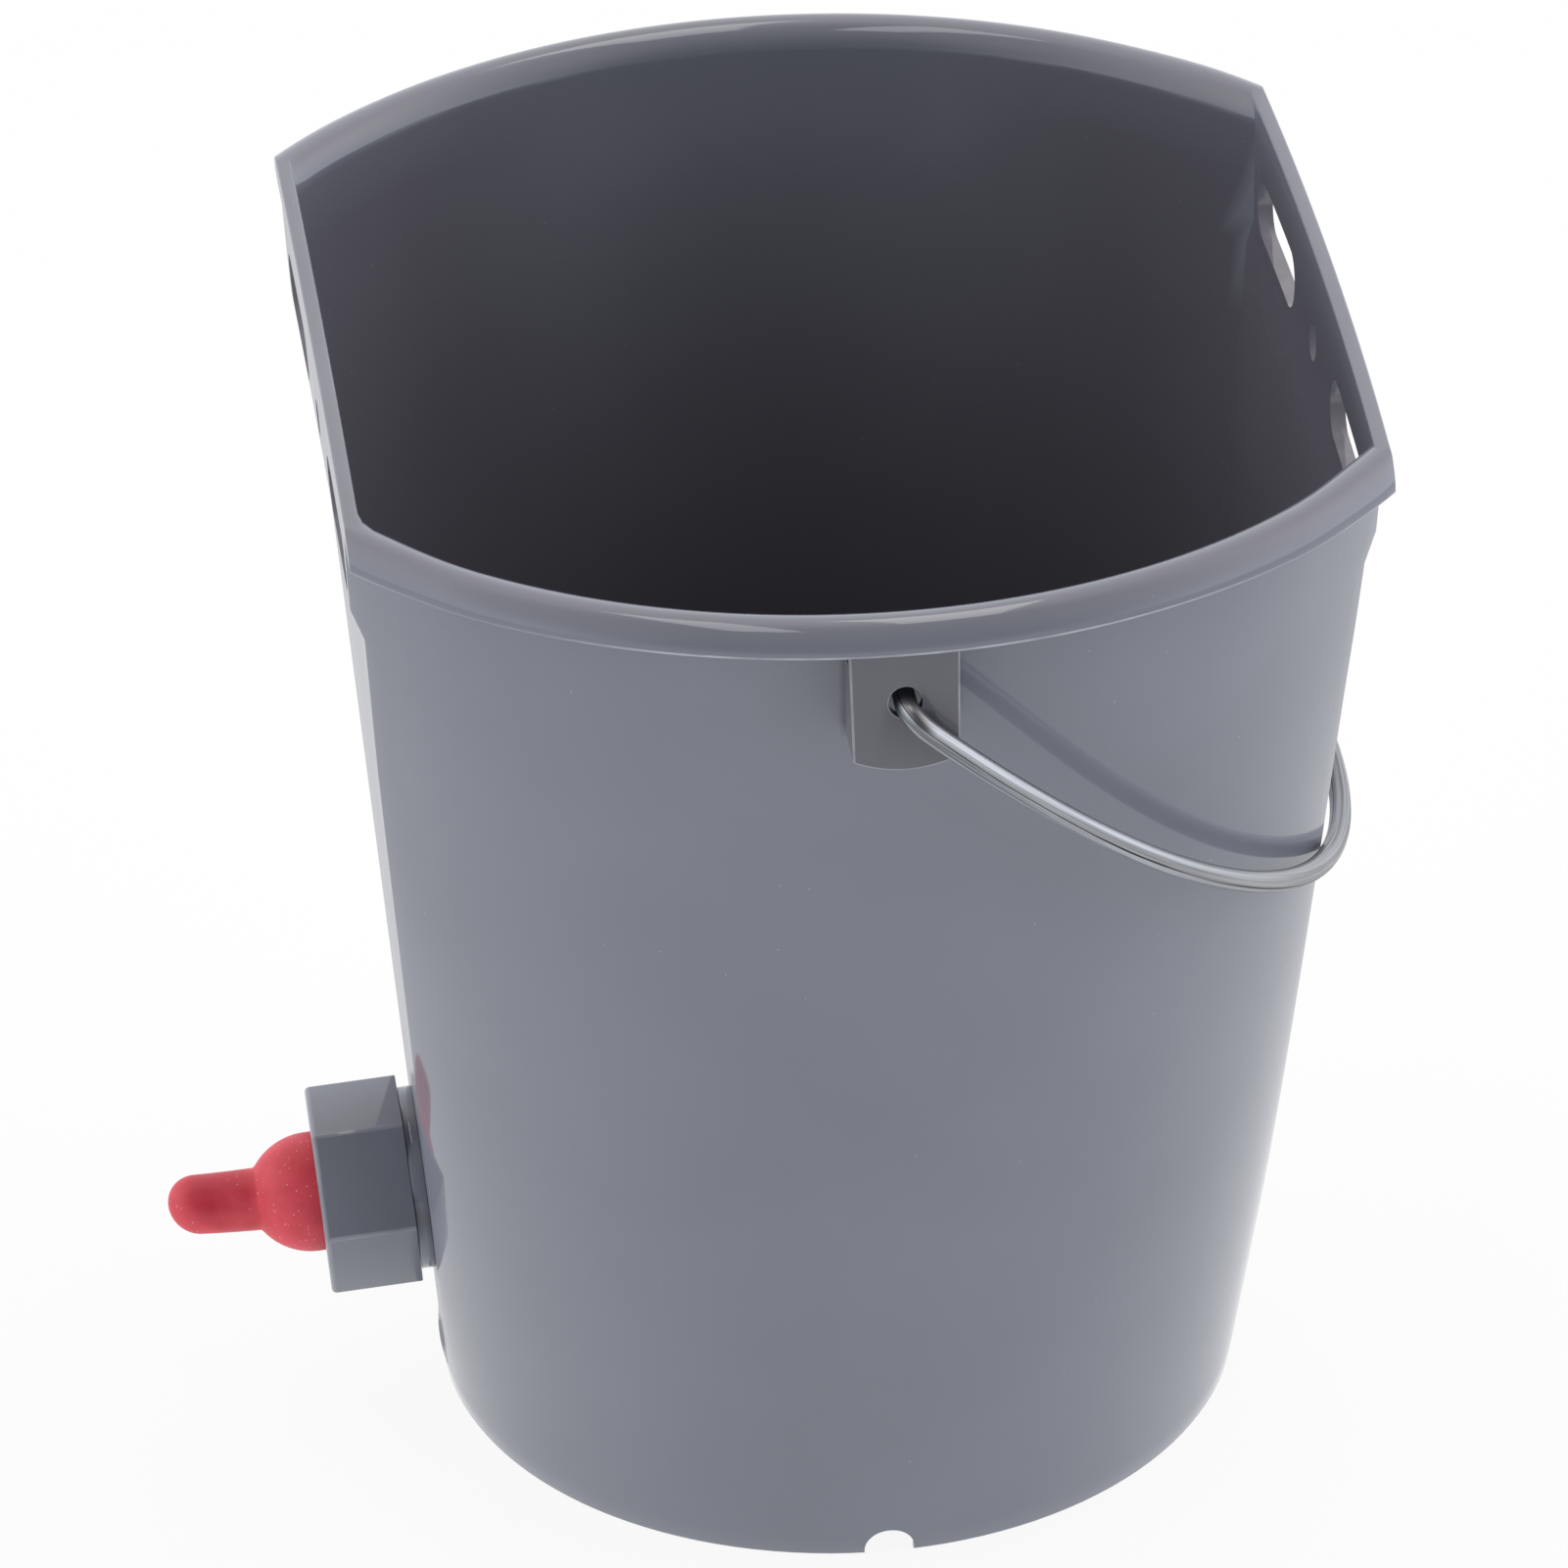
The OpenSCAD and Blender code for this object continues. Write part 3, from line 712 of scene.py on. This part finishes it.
def union_nut():
    block = hexagon(NUT_FLAT_R, NUT_FROM, NUT_TO, NUT_TURN, corner=0.7, top_round=1.2, foot_round=0.25)
    entry_r = NUT_BORE_R + NUT_CHAMFER
    throat_r = BULB_R + TEAT_GAP
    mouth_r = BULB_R + 2 * TEAT_GAP
    bore = spun([(0, NUT_FROM - 1), (entry_r, NUT_FROM - 1), (entry_r, NUT_FROM),
                 (NUT_BORE_R, NUT_FROM + NUT_CHAMFER), (NUT_BORE_R, NUT_END), (throat_r, NUT_END),
                 (throat_r, NUT_TO - TEAT_GAP), (mouth_r, NUT_TO), (mouth_r, NUT_TO + 1), (0, NUT_TO + 1)],
                VALVE_COLUMNS)
    nut = combined(block, bore, "DIFFERENCE")
    ridge = thread(NUT_BORE_R + THREAD_SINK, CORE_R + 0.4, start=COLLAR_TO + 3, turns=3)
    return placed(joined(nut, ridge), VALVE)


def lock_nut():
    block = hexagon(LOCK_FLAT_R, LOCK_FROM, LOCK_TO, 0, corner=0.8, top_round=0.5, foot_round=1.0)
    bore_r = STEM_R + STEM_GAP
    bore = spun([(0, LOCK_FROM - 1), (bore_r, LOCK_FROM - 1), (bore_r, LOCK_TO + 1), (0, LOCK_TO + 1)],
                VALVE_COLUMNS)
    return placed(combined(block, bore, "DIFFERENCE"), VALVE)


def wall_gasket():
    bore_r = STEM_R + STEM_GAP
    face_r = GASKET_R - 0.3
    ring = [(bore_r, GASKET_FROM), (face_r, GASKET_FROM), (GASKET_R, GASKET_FROM + 0.2),
            (GASKET_R, GASKET_TO - 0.2), (face_r, GASKET_TO), (bore_r, GASKET_TO), (bore_r, GASKET_FROM)]
    return placed(spun(ring, VALVE_COLUMNS), VALVE)


# Teat

def teat():
    """The rubber teat: a flange in the nut, a bulb, and a slightly raised tip with a milk hole."""
    flange_in = FLANGE_R - FLANGE_ROUND
    tip_mid = (0, TEAT_END - TIP_END_R)
    section = [(TEAT_BORE_R, FLANGE_FROM), (flange_in, FLANGE_FROM), (FLANGE_R, FLANGE_FROM + FLANGE_ROUND),
               (FLANGE_R, FLANGE_TO - FLANGE_ROUND), (flange_in, FLANGE_TO), (BULB_R, FLANGE_TO)]
    section += [(BULB_R - 0.02, BULB_FROM)]
    section += arc(BULB_CENTRE, BULB_ROUND, 0, 53.8, 16)
    section += [(TIP_R, TIP_FROM), (TIP_R - 0.05, TIP_FROM + 2.1), (TIP_R - 0.15, TIP_FROM + 5.6),
                (TIP_END_R + 0.1, TIP_FROM + 9.6)]
    section += arc(tip_mid, TIP_END_R, 0, 84, 10)
    section += [(MILK_HOLE_R + 0.05, TEAT_END - 0.15), (MILK_HOLE_R, TEAT_END - 0.5)]
    section += [(MILK_HOLE_R, TEAT_END - 3)]
    section += arc(tip_mid, TIP_BORE_R, 75, 0, 6)
    section += [(TIP_BORE_R + 0.2, TIP_FROM + 1.6)]
    section += reversed(arc(BULB_CENTRE, BULB_INNER_ROUND, 0, 60, 8))
    section += [(TEAT_BORE_R, FLANGE_FROM)]
    bm = spun(section, TEAT_COLUMNS)
    for vert in bm.verts:
        reach = max(0.0, vert.co.z - TEAT_BEND_FROM) / (TEAT_END - TEAT_BEND_FROM)
        vert.co.x += TEAT_BEND * reach * reach
    return placed(bm, VALVE)


# Materials

def srgb(code):
    """A colour written as sRGB hex, in linear values."""
    parts = [int(code[i:i + 2], 16) / 255 for i in (1, 3, 5)]
    return [p / 12.92 if p <= 0.04045 else ((p + 0.055) / 1.055) ** 2.4 for p in parts] + [1.0]


def add(tree, kind, inputs=None, **settings):
    """A new node with its settings; an input is a value, or the output of another node."""
    node = tree.nodes.new(kind)
    for name, value in settings.items():
        setattr(node, name, value)
    for name, value in (inputs or {}).items():
        if isinstance(value, bpy.types.NodeSocket):
            tree.links.new(value, node.inputs[name])
        else:
            node.inputs[name].default_value = value
    return node


def new_material(name):
    material = bpy.data.materials.new(name)
    material.use_nodes = True
    tree = material.node_tree
    return material, tree, tree.nodes["Principled BSDF"]


def per_mm(size):
    """The scale of a pattern with features this many millimetres apart, on Object coordinates in metres."""
    return 1 / (size * MM)


def grey_polypropylene():
    """Injection-moulded polypropylene, dyed through: an even cool grey with a smooth, glossy skin. It has
    cloudy patches of gloss, a faint orange peel and a little pale dust. Painted highlights, made patchy, lie
    along its edges, slot walls and the lip's lower edge. Painted shade darkens the inside and the ears, and
    the outer faces of the flat sides are more matt."""
    material, tree, skin = new_material("grey_polypropylene_moulded")
    place = add(tree, "ShaderNodeTexCoord").outputs["Object"]
    cloud = add(tree, "ShaderNodeTexNoise",
                {"Vector": place, "Scale": per_mm(55), "Detail": 4.0}).outputs["Fac"]
    tone = add(tree, "ShaderNodeMapRange", {"Value": cloud, "From Min": 0.3, "From Max": 0.7})
    dyed = add(tree, "ShaderNodeMix", {0: tone.outputs["Result"], 6: srgb("#787C87"), 7: srgb("#7D818C")},
               data_type="RGBA")
    # Dust is 0.3 mm across, in four of ten cells of 6 mm.
    grain = add(tree, "ShaderNodeTexVoronoi", {"Vector": place, "Scale": per_mm(6)})
    speck = add(tree, "ShaderNodeMapRange",
                {"Value": grain.outputs["Distance"], "From Min": 0.035, "From Max": 0.02})
    some = add(tree, "ShaderNodeSeparateColor", {"Color": grain.outputs["Color"]}).outputs["Red"]
    chosen = add(tree, "ShaderNodeMath", {0: some, 1: 0.6}, operation="GREATER_THAN")
    dust = add(tree, "ShaderNodeMath",
               {0: speck.outputs["Result"], 1: chosen.outputs["Value"]}, operation="MULTIPLY")
    dusty = add(tree, "ShaderNodeMix", {0: dust.outputs["Value"], 6: dyed.outputs[2], 7: srgb("#A9ABB2")},
                data_type="RGBA")
    # Painted highlight along the edges, the slot walls and the lip's lower edge, made patchy
    patch_noise = add(tree, "ShaderNodeTexNoise", {"Vector": place, "Scale": per_mm(9), "Detail": 3.0}).outputs["Fac"]
    edge = add(tree, "ShaderNodeAttribute", attribute_name="painted_edge_highlight").outputs["Fac"]
    patchy = add(tree, "ShaderNodeMapRange", {"Value": patch_noise, "From Min": 0.3, "From Max": 0.7, "To Min": 0.25})
    edge_light = add(tree, "ShaderNodeMath", {0: edge, 1: patchy.outputs["Result"]}, operation="MULTIPLY")
    edge_lit = add(tree, "ShaderNodeMix", {0: edge_light.outputs["Value"], 6: dusty.outputs[2], 7: srgb("#BFC3CC")},
                 data_type="RGBA")
    # Painted shade, which darkens the inside and the ears
    shade_mask = add(tree, "ShaderNodeAttribute", attribute_name="painted_shade").outputs["Fac"]
    shade_darkened = add(tree, "ShaderNodeMix", {0: shade_mask, 6: edge_lit.outputs[2], 7: srgb("#D3CDCE")}, data_type="RGBA",
                blend_type="MULTIPLY")
    tree.links.new(shade_darkened.outputs[2], skin.inputs["Base Color"])
    gloss = add(tree, "ShaderNodeMapRange",
                {"Value": cloud, "From Min": 0.3, "From Max": 0.7, "To Min": 0.04, "To Max": 0.07})
    matt = add(tree, "ShaderNodeAttribute", attribute_name="matt").outputs["Fac"]
    rough = add(tree, "ShaderNodeMath",
                {0: matt, 1: 0.2, 2: gloss.outputs["Result"]}, operation="MULTIPLY_ADD")
    tree.links.new(rough.outputs["Value"], skin.inputs["Roughness"])
    peel = add(tree, "ShaderNodeTexNoise",
               {"Vector": place, "Scale": per_mm(1.4), "Detail": 2.0}).outputs["Fac"]
    bump = add(tree, "ShaderNodeBump", {"Strength": 0.15, "Distance": 0.02 * MM, "Height": peel})
    tree.links.new(bump.outputs["Normal"], skin.inputs["Normal"])
    skin.inputs["IOR"].default_value = 1.49
    return material


def drawn_wire():
    """Galvanised steel wire, drawn through a die: bright zinc with streaks along it, and one dark line that
    the die left along the bow. Its underside is painted paler and bluer, with darker streaks, as a painted
    reflection of the floor."""
    material, tree, skin = new_material("galvanised_steel_drawn")
    place = add(tree, "ShaderNodeAttribute", attribute_name="along_wire").outputs["Vector"]
    # The attribute runs in millimetres along the wire and in its radii across.
    fine = (1 / STREAK_LENGTH, WIRE_R / STREAK_WIDTH, WIRE_R / STREAK_WIDTH)
    drawn = add(tree, "ShaderNodeMapping", {"Vector": place, "Scale": fine}).outputs["Vector"]
    streak = add(tree, "ShaderNodeTexNoise",
                 {"Vector": drawn, "Scale": 1.0, "Detail": 5.0, "Roughness": 0.65})
    height = add(tree, "ShaderNodeSeparateXYZ", {"Vector": place}).outputs["Z"]
    # Painted reflection of the floor: the underside is a paler, bluer zinc, and its streaks show darker
    # there.
    under = add(tree, "ShaderNodeMapRange",
                {"Value": height, "From Min": 0.2, "From Max": -0.1, "To Min": 0.75})
    painted_underside = add(tree, "ShaderNodeMapRange", {"Value": height, "From Min": 0.15, "From Max": 0.05})
    dull = add(tree, "ShaderNodeMapRange",
               {"Value": streak.outputs["Fac"], "From Min": 0.44, "From Max": 0.64})
    dark = add(tree, "ShaderNodeMath",
               {0: dull.outputs["Result"], 1: under.outputs["Result"]}, operation="MULTIPLY")
    tone = add(tree, "ShaderNodeMix", {0: painted_underside.outputs["Result"], 6: srgb("#A0A2A6"), 7: srgb("#A6ABB2")},
               data_type="RGBA")
    zinc = add(tree, "ShaderNodeMix", {0: dark.outputs["Value"], 6: tone.outputs[2], 7: srgb("#56575B")},
               data_type="RGBA")
    # The line wanders with patches that are 25 mm long, 2 mm across the wire and 0.5 mm up it.
    broken = add(tree, "ShaderNodeMapping", {"Vector": place, "Scale": (1 / 25, 1.2, 5.0)}).outputs["Vector"]
    ragged = add(tree, "ShaderNodeTexNoise", {"Vector": broken, "Scale": 1.0, "Detail": 4.0}).outputs["Fac"]
    wander = add(tree, "ShaderNodeMath", {0: ragged, 1: 0.3, 2: height}, operation="MULTIPLY_ADD")
    off = add(tree, "ShaderNodeMath", {0: wander.outputs["Value"], 1: 0.27}, operation="SUBTRACT")
    away = add(tree, "ShaderNodeMath", {0: off.outputs["Value"]}, operation="ABSOLUTE")
    line = add(tree, "ShaderNodeMapRange",
               {"Value": away.outputs["Value"], "From Min": 0.09, "From Max": 0.03})
    lined = add(tree, "ShaderNodeMix", {0: line.outputs["Result"], 6: zinc.outputs[2], 7: srgb("#38383A")},
                data_type="RGBA")
    tree.links.new(lined.outputs[2], skin.inputs["Base Color"])
    rough = add(tree, "ShaderNodeMapRange",
                {"Value": streak.outputs["Fac"], "From Min": 0.3, "From Max": 0.7, "To Min": 0.28,
                 "To Max": 0.48})
    tree.links.new(rough.outputs["Result"], skin.inputs["Roughness"])
    bump = add(tree, "ShaderNodeBump",
               {"Strength": 0.35, "Distance": 0.06 * MM, "Height": streak.outputs["Fac"]})
    tree.links.new(bump.outputs["Normal"], skin.inputs["Normal"])
    skin.inputs["Metallic"].default_value = 1.0
    return material


def red_rubber():
    """Moulded natural rubber: a dull red skin with a pale bloom, and specks of talc, most beside the nut."""
    material, tree, skin = new_material("red_rubber_moulded")
    place = add(tree, "ShaderNodeTexCoord").outputs["Object"]
    cloud = add(tree, "ShaderNodeTexNoise",
                {"Vector": place, "Scale": per_mm(7), "Detail": 5.0}).outputs["Fac"]
    tone = add(tree, "ShaderNodeMapRange", {"Value": cloud, "From Min": 0.3, "From Max": 0.7})
    red = add(tree, "ShaderNodeMix", {0: tone.outputs["Result"], 6: srgb("#CE2E3E"), 7: srgb("#E34B5B")},
              data_type="RGBA")
    # Talc lies in specks of 0.4 mm, 1.1 mm apart, and thins out from the nut to the tip.
    grain = add(tree, "ShaderNodeTexVoronoi", {"Vector": place, "Scale": per_mm(1.1)})
    speck = add(tree, "ShaderNodeMapRange",
                {"Value": grain.outputs["Distance"], "From Min": 0.24, "From Max": 0.12})
    across = add(tree, "ShaderNodeSeparateXYZ", {"Vector": place}).outputs["X"]
    near = add(tree, "ShaderNodeMapRange",
               {"Value": across, "From Min": -0.142, "From Max": -0.12, "To Min": 0.88, "To Max": 0.4})
    some = add(tree, "ShaderNodeSeparateColor", {"Color": grain.outputs["Color"]}).outputs["Red"]
    chosen = add(tree, "ShaderNodeMath", {0: some, 1: near.outputs["Result"]}, operation="GREATER_THAN")
    talc = add(tree, "ShaderNodeMath",
               {0: speck.outputs["Result"], 1: chosen.outputs["Value"]}, operation="MULTIPLY")
    thin = add(tree, "ShaderNodeMath", {0: talc.outputs["Value"], 1: cloud}, operation="MULTIPLY")
    dusted = add(tree, "ShaderNodeMix", {0: thin.outputs["Value"], 6: red.outputs[2], 7: srgb("#EDB9BC")},
                 data_type="RGBA")
    tree.links.new(dusted.outputs[2], skin.inputs["Base Color"])
    rough = add(tree, "ShaderNodeMapRange",
                {"Value": cloud, "From Min": 0.3, "From Max": 0.7, "To Min": 0.48, "To Max": 0.62})
    tree.links.new(rough.outputs["Result"], skin.inputs["Roughness"])
    pores = add(tree, "ShaderNodeTexNoise",
                {"Vector": place, "Scale": per_mm(0.8), "Detail": 3.0}).outputs["Fac"]
    bump = add(tree, "ShaderNodeBump", {"Strength": 0.3, "Distance": 0.05 * MM, "Height": pores})
    tree.links.new(bump.outputs["Normal"], skin.inputs["Normal"])
    skin.inputs["Sheen Weight"].default_value = 0.07
    skin.inputs["Sheen Roughness"].default_value = 0.4
    skin.inputs["Sheen Tint"].default_value = srgb("#F7C9CF")
    skin.inputs["IOR"].default_value = 1.52
    return material


def black_rubber():
    """Sheet rubber, stamped into a ring: dull black, greyed a little by dust."""
    material, tree, skin = new_material("black_rubber_stamped")
    place = add(tree, "ShaderNodeTexCoord").outputs["Object"]
    cloud = add(tree, "ShaderNodeTexNoise",
                {"Vector": place, "Scale": per_mm(3), "Detail": 4.0}).outputs["Fac"]
    dusty = add(tree, "ShaderNodeMix", {0: cloud, 6: srgb("#1F2022"), 7: srgb("#3C3D40")}, data_type="RGBA")
    tree.links.new(dusty.outputs[2], skin.inputs["Base Color"])
    bump = add(tree, "ShaderNodeBump", {"Strength": 0.4, "Distance": 0.05 * MM, "Height": cloud})
    tree.links.new(bump.outputs["Normal"], skin.inputs["Normal"])
    skin.inputs["Roughness"].default_value = 0.7
    return material


def white_acetal():
    """Moulded acetal: milky white, smooth and slippery, with faint clouds from the mould."""
    material, tree, skin = new_material("white_acetal_moulded")
    place = add(tree, "ShaderNodeTexCoord").outputs["Object"]
    cloud = add(tree, "ShaderNodeTexNoise",
                {"Vector": place, "Scale": per_mm(4), "Detail": 3.0}).outputs["Fac"]
    milky = add(tree, "ShaderNodeMix", {0: cloud, 6: srgb("#DDDAD2"), 7: srgb("#EAE8E2")}, data_type="RGBA")
    tree.links.new(milky.outputs[2], skin.inputs["Base Color"])
    rough = add(tree, "ShaderNodeMapRange", {"Value": cloud, "To Min": 0.2, "To Max": 0.32})
    tree.links.new(rough.outputs["Result"], skin.inputs["Roughness"])
    return material


grey = grey_polypropylene()
piece("bucket", pail(), grey, "bucket", ["bucket_shell"])
piece("bail_wire", bail_wire(), drawn_wire(), "bail", ["bail"])
piece("valve_barrel", valve_body(), grey, "bucket", ["valve_body"])
piece("hex_union_nut", union_nut(), grey, "union_nut", ["union_nut"])
piece("hex_lock_nut", lock_nut(), grey, "bucket", ["lock_nut"])
piece("gasket_ring", wall_gasket(), black_rubber(), "bucket", ["wall_gasket"])
piece("rubber_teat", teat(), red_rubber(), "teat", ["teat"], sharp=60)
acetal = white_acetal()
for name in ("valve_ball", "ball_stop"):
    for slot in frame["nodes"][name].material_slots:
        slot.link = "OBJECT"
        slot.material = acetal


# Stage, camera and light

CAMERA_TURN = math.radians(-6.438)
CAMERA_RISE = math.radians(30.98)
CAMERA_ROLL = math.radians(-1.222)
CAMERA_DISTANCE = 2034.2
CAMERA_REACH = 50.0
CAMERA_TARGET = Vector((-9.788, 0, 147.66))
FOCAL_PIXELS = 9243.2
PHOTO_PIXELS = 1601
SENSOR = 36.0
FLOOR_SIZE = 6.0
FLOOR_GAP = 0.0001
FLOOR_GLOW = 0.9
DARK_WAY = (0, -0.66, 0.75)
SKY_LIGHT = 1.2
SKY_DARK = 0.085
SIDE_GLOWS = {(0.95, -0.1, 0.3): 1.3, (-0.95, -0.1, 0.3): 0.8}
LAMP_WAYS = {"lamp_left": (-0.135, 0.04, 0.99), "lamp_right": (0.159, 0.343, 0.926)}
LAMP_DISTANCE = 1.3
LAMP_SIZE = (0.18, 0.8)
LAMP_WATTS = 1.4


def camera():
    level = math.cos(CAMERA_RISE)
    back = Vector((math.sin(CAMERA_TURN) * level, -math.cos(CAMERA_TURN) * level, math.sin(CAMERA_RISE)))
    right = (-back).cross(Vector((0, 0, 1))).normalized()
    up = right.cross(-back)
    tilted_right = math.cos(CAMERA_ROLL) * right + math.sin(CAMERA_ROLL) * up
    tilted_up = math.cos(CAMERA_ROLL) * up - math.sin(CAMERA_ROLL) * right
    data = bpy.data.cameras.new("camera")
    data.sensor_width = SENSOR
    data.lens = FOCAL_PIXELS * SENSOR / PHOTO_PIXELS
    data.clip_end = CAMERA_REACH
    obj = bpy.data.objects.new("camera", data)
    turn = Matrix((tilted_right, tilted_up, back)).transposed().to_4x4()
    obj.matrix_world = Matrix.Translation((CAMERA_TARGET + CAMERA_DISTANCE * back) * MM) @ turn
    bpy.context.scene.collection.objects.link(obj)
    bpy.context.scene.camera = obj


def floor():
    """A white table, lit from below as well, so that it is as bright as it looks and keeps a faint shadow."""
    bm = bmesh.new()
    bmesh.ops.create_grid(bm, x_segments=1, y_segments=1, size=FLOOR_SIZE)
    bmesh.ops.translate(bm, verts=bm.verts, vec=(0, 0, -FLOOR_GAP))
    mesh = bpy.data.meshes.new("floor")
    bm.to_mesh(mesh)
    bm.free()
    obj = bpy.data.objects.new("floor", mesh)
    bpy.context.scene.collection.objects.link(obj)
    material, tree, skin = new_material("white_floor")
    skin.inputs["Base Color"].default_value = srgb("#FCFCFC")
    skin.inputs["Roughness"].default_value = 0.9
    skin.inputs["Specular IOR Level"].default_value = 0.0
    white = add(tree, "ShaderNodeEmission", {"Strength": 1.0})
    both = add(tree, "ShaderNodeMixShader",
               {0: FLOOR_GLOW, 1: skin.outputs["BSDF"], 2: white.outputs["Emission"]})
    tree.links.new(both.outputs["Shader"], tree.nodes["Material Output"].inputs["Surface"])
    mesh.materials.append(material)


def world():
    """A bright studio that is dark high at the front and glows at either side. Seen directly or through a
    piece it is plain white."""
    sky = bpy.data.worlds.new("studio")
    sky.use_nodes = True
    tree = sky.node_tree
    way = add(tree, "ShaderNodeTexCoord").outputs["Generated"]
    front = add(tree, "ShaderNodeVectorMath", {0: way, 1: DARK_WAY}, operation="DOT_PRODUCT").outputs["Value"]
    level = add(tree, "ShaderNodeMapRange",
                {"Value": front, "From Min": 0.35, "From Max": 0.8, "To Min": SKY_LIGHT, "To Max": SKY_DARK},
                interpolation_type="SMOOTHSTEP").outputs["Result"]
    for glow_way, strength in SIDE_GLOWS.items():
        near = add(tree, "ShaderNodeVectorMath",
                   {0: way, 1: glow_way}, operation="DOT_PRODUCT").outputs["Value"]
        glow = add(tree, "ShaderNodeMapRange",
                   {"Value": near, "From Min": 0.5, "From Max": 0.98, "To Max": strength},
                   interpolation_type="SMOOTHSTEP").outputs["Result"]
        level = add(tree, "ShaderNodeMath", {0: level, 1: glow}, operation="ADD").outputs["Value"]
    rays = add(tree, "ShaderNodeLightPath").outputs
    seen = add(tree, "ShaderNodeMath",
               {0: rays["Is Camera Ray"], 1: rays["Is Transmission Ray"]}, operation="MAXIMUM")
    white = add(tree, "ShaderNodeMath", {0: seen.outputs["Value"], 1: level}, operation="MAXIMUM")
    background = tree.nodes["Background"]
    rise = add(tree, "ShaderNodeSeparateXYZ", {"Vector": way}).outputs["Z"]
    high = add(tree, "ShaderNodeMapRange", {"Value": rise, "From Min": 0.2, "From Max": 0.7})
    tint = add(tree, "ShaderNodeMix", {0: high.outputs["Result"], 6: srgb("#F3F8FF"), 7: srgb("#FFF4F0")},
               data_type="RGBA")
    tree.links.new(tint.outputs[2], background.inputs["Color"])
    tree.links.new(white.outputs["Value"], background.inputs["Strength"])
    bpy.context.scene.world = sky


def lamps():
    """Two strip lamps overhead, along Y, which give the lip its soft glints."""
    for name, way in LAMP_WAYS.items():
        data = bpy.data.lights.new(name, "AREA")
        data.shape = "RECTANGLE"
        data.size, data.size_y = LAMP_SIZE
        data.energy = LAMP_WATTS
        obj = bpy.data.objects.new(name, data)
        way = Vector(way).normalized()
        obj.location = Vector((0, 0, HEIGHT * MM)) + LAMP_DISTANCE * way
        across = Vector((0, 1, 0)).cross(way).normalized()
        obj.rotation_euler = Matrix((across, way.cross(across), way)).transposed().to_euler()
        bpy.context.scene.collection.objects.link(obj)


camera()
floor()
world()
lamps()
bpy.context.scene.view_settings.view_transform = "Standard"
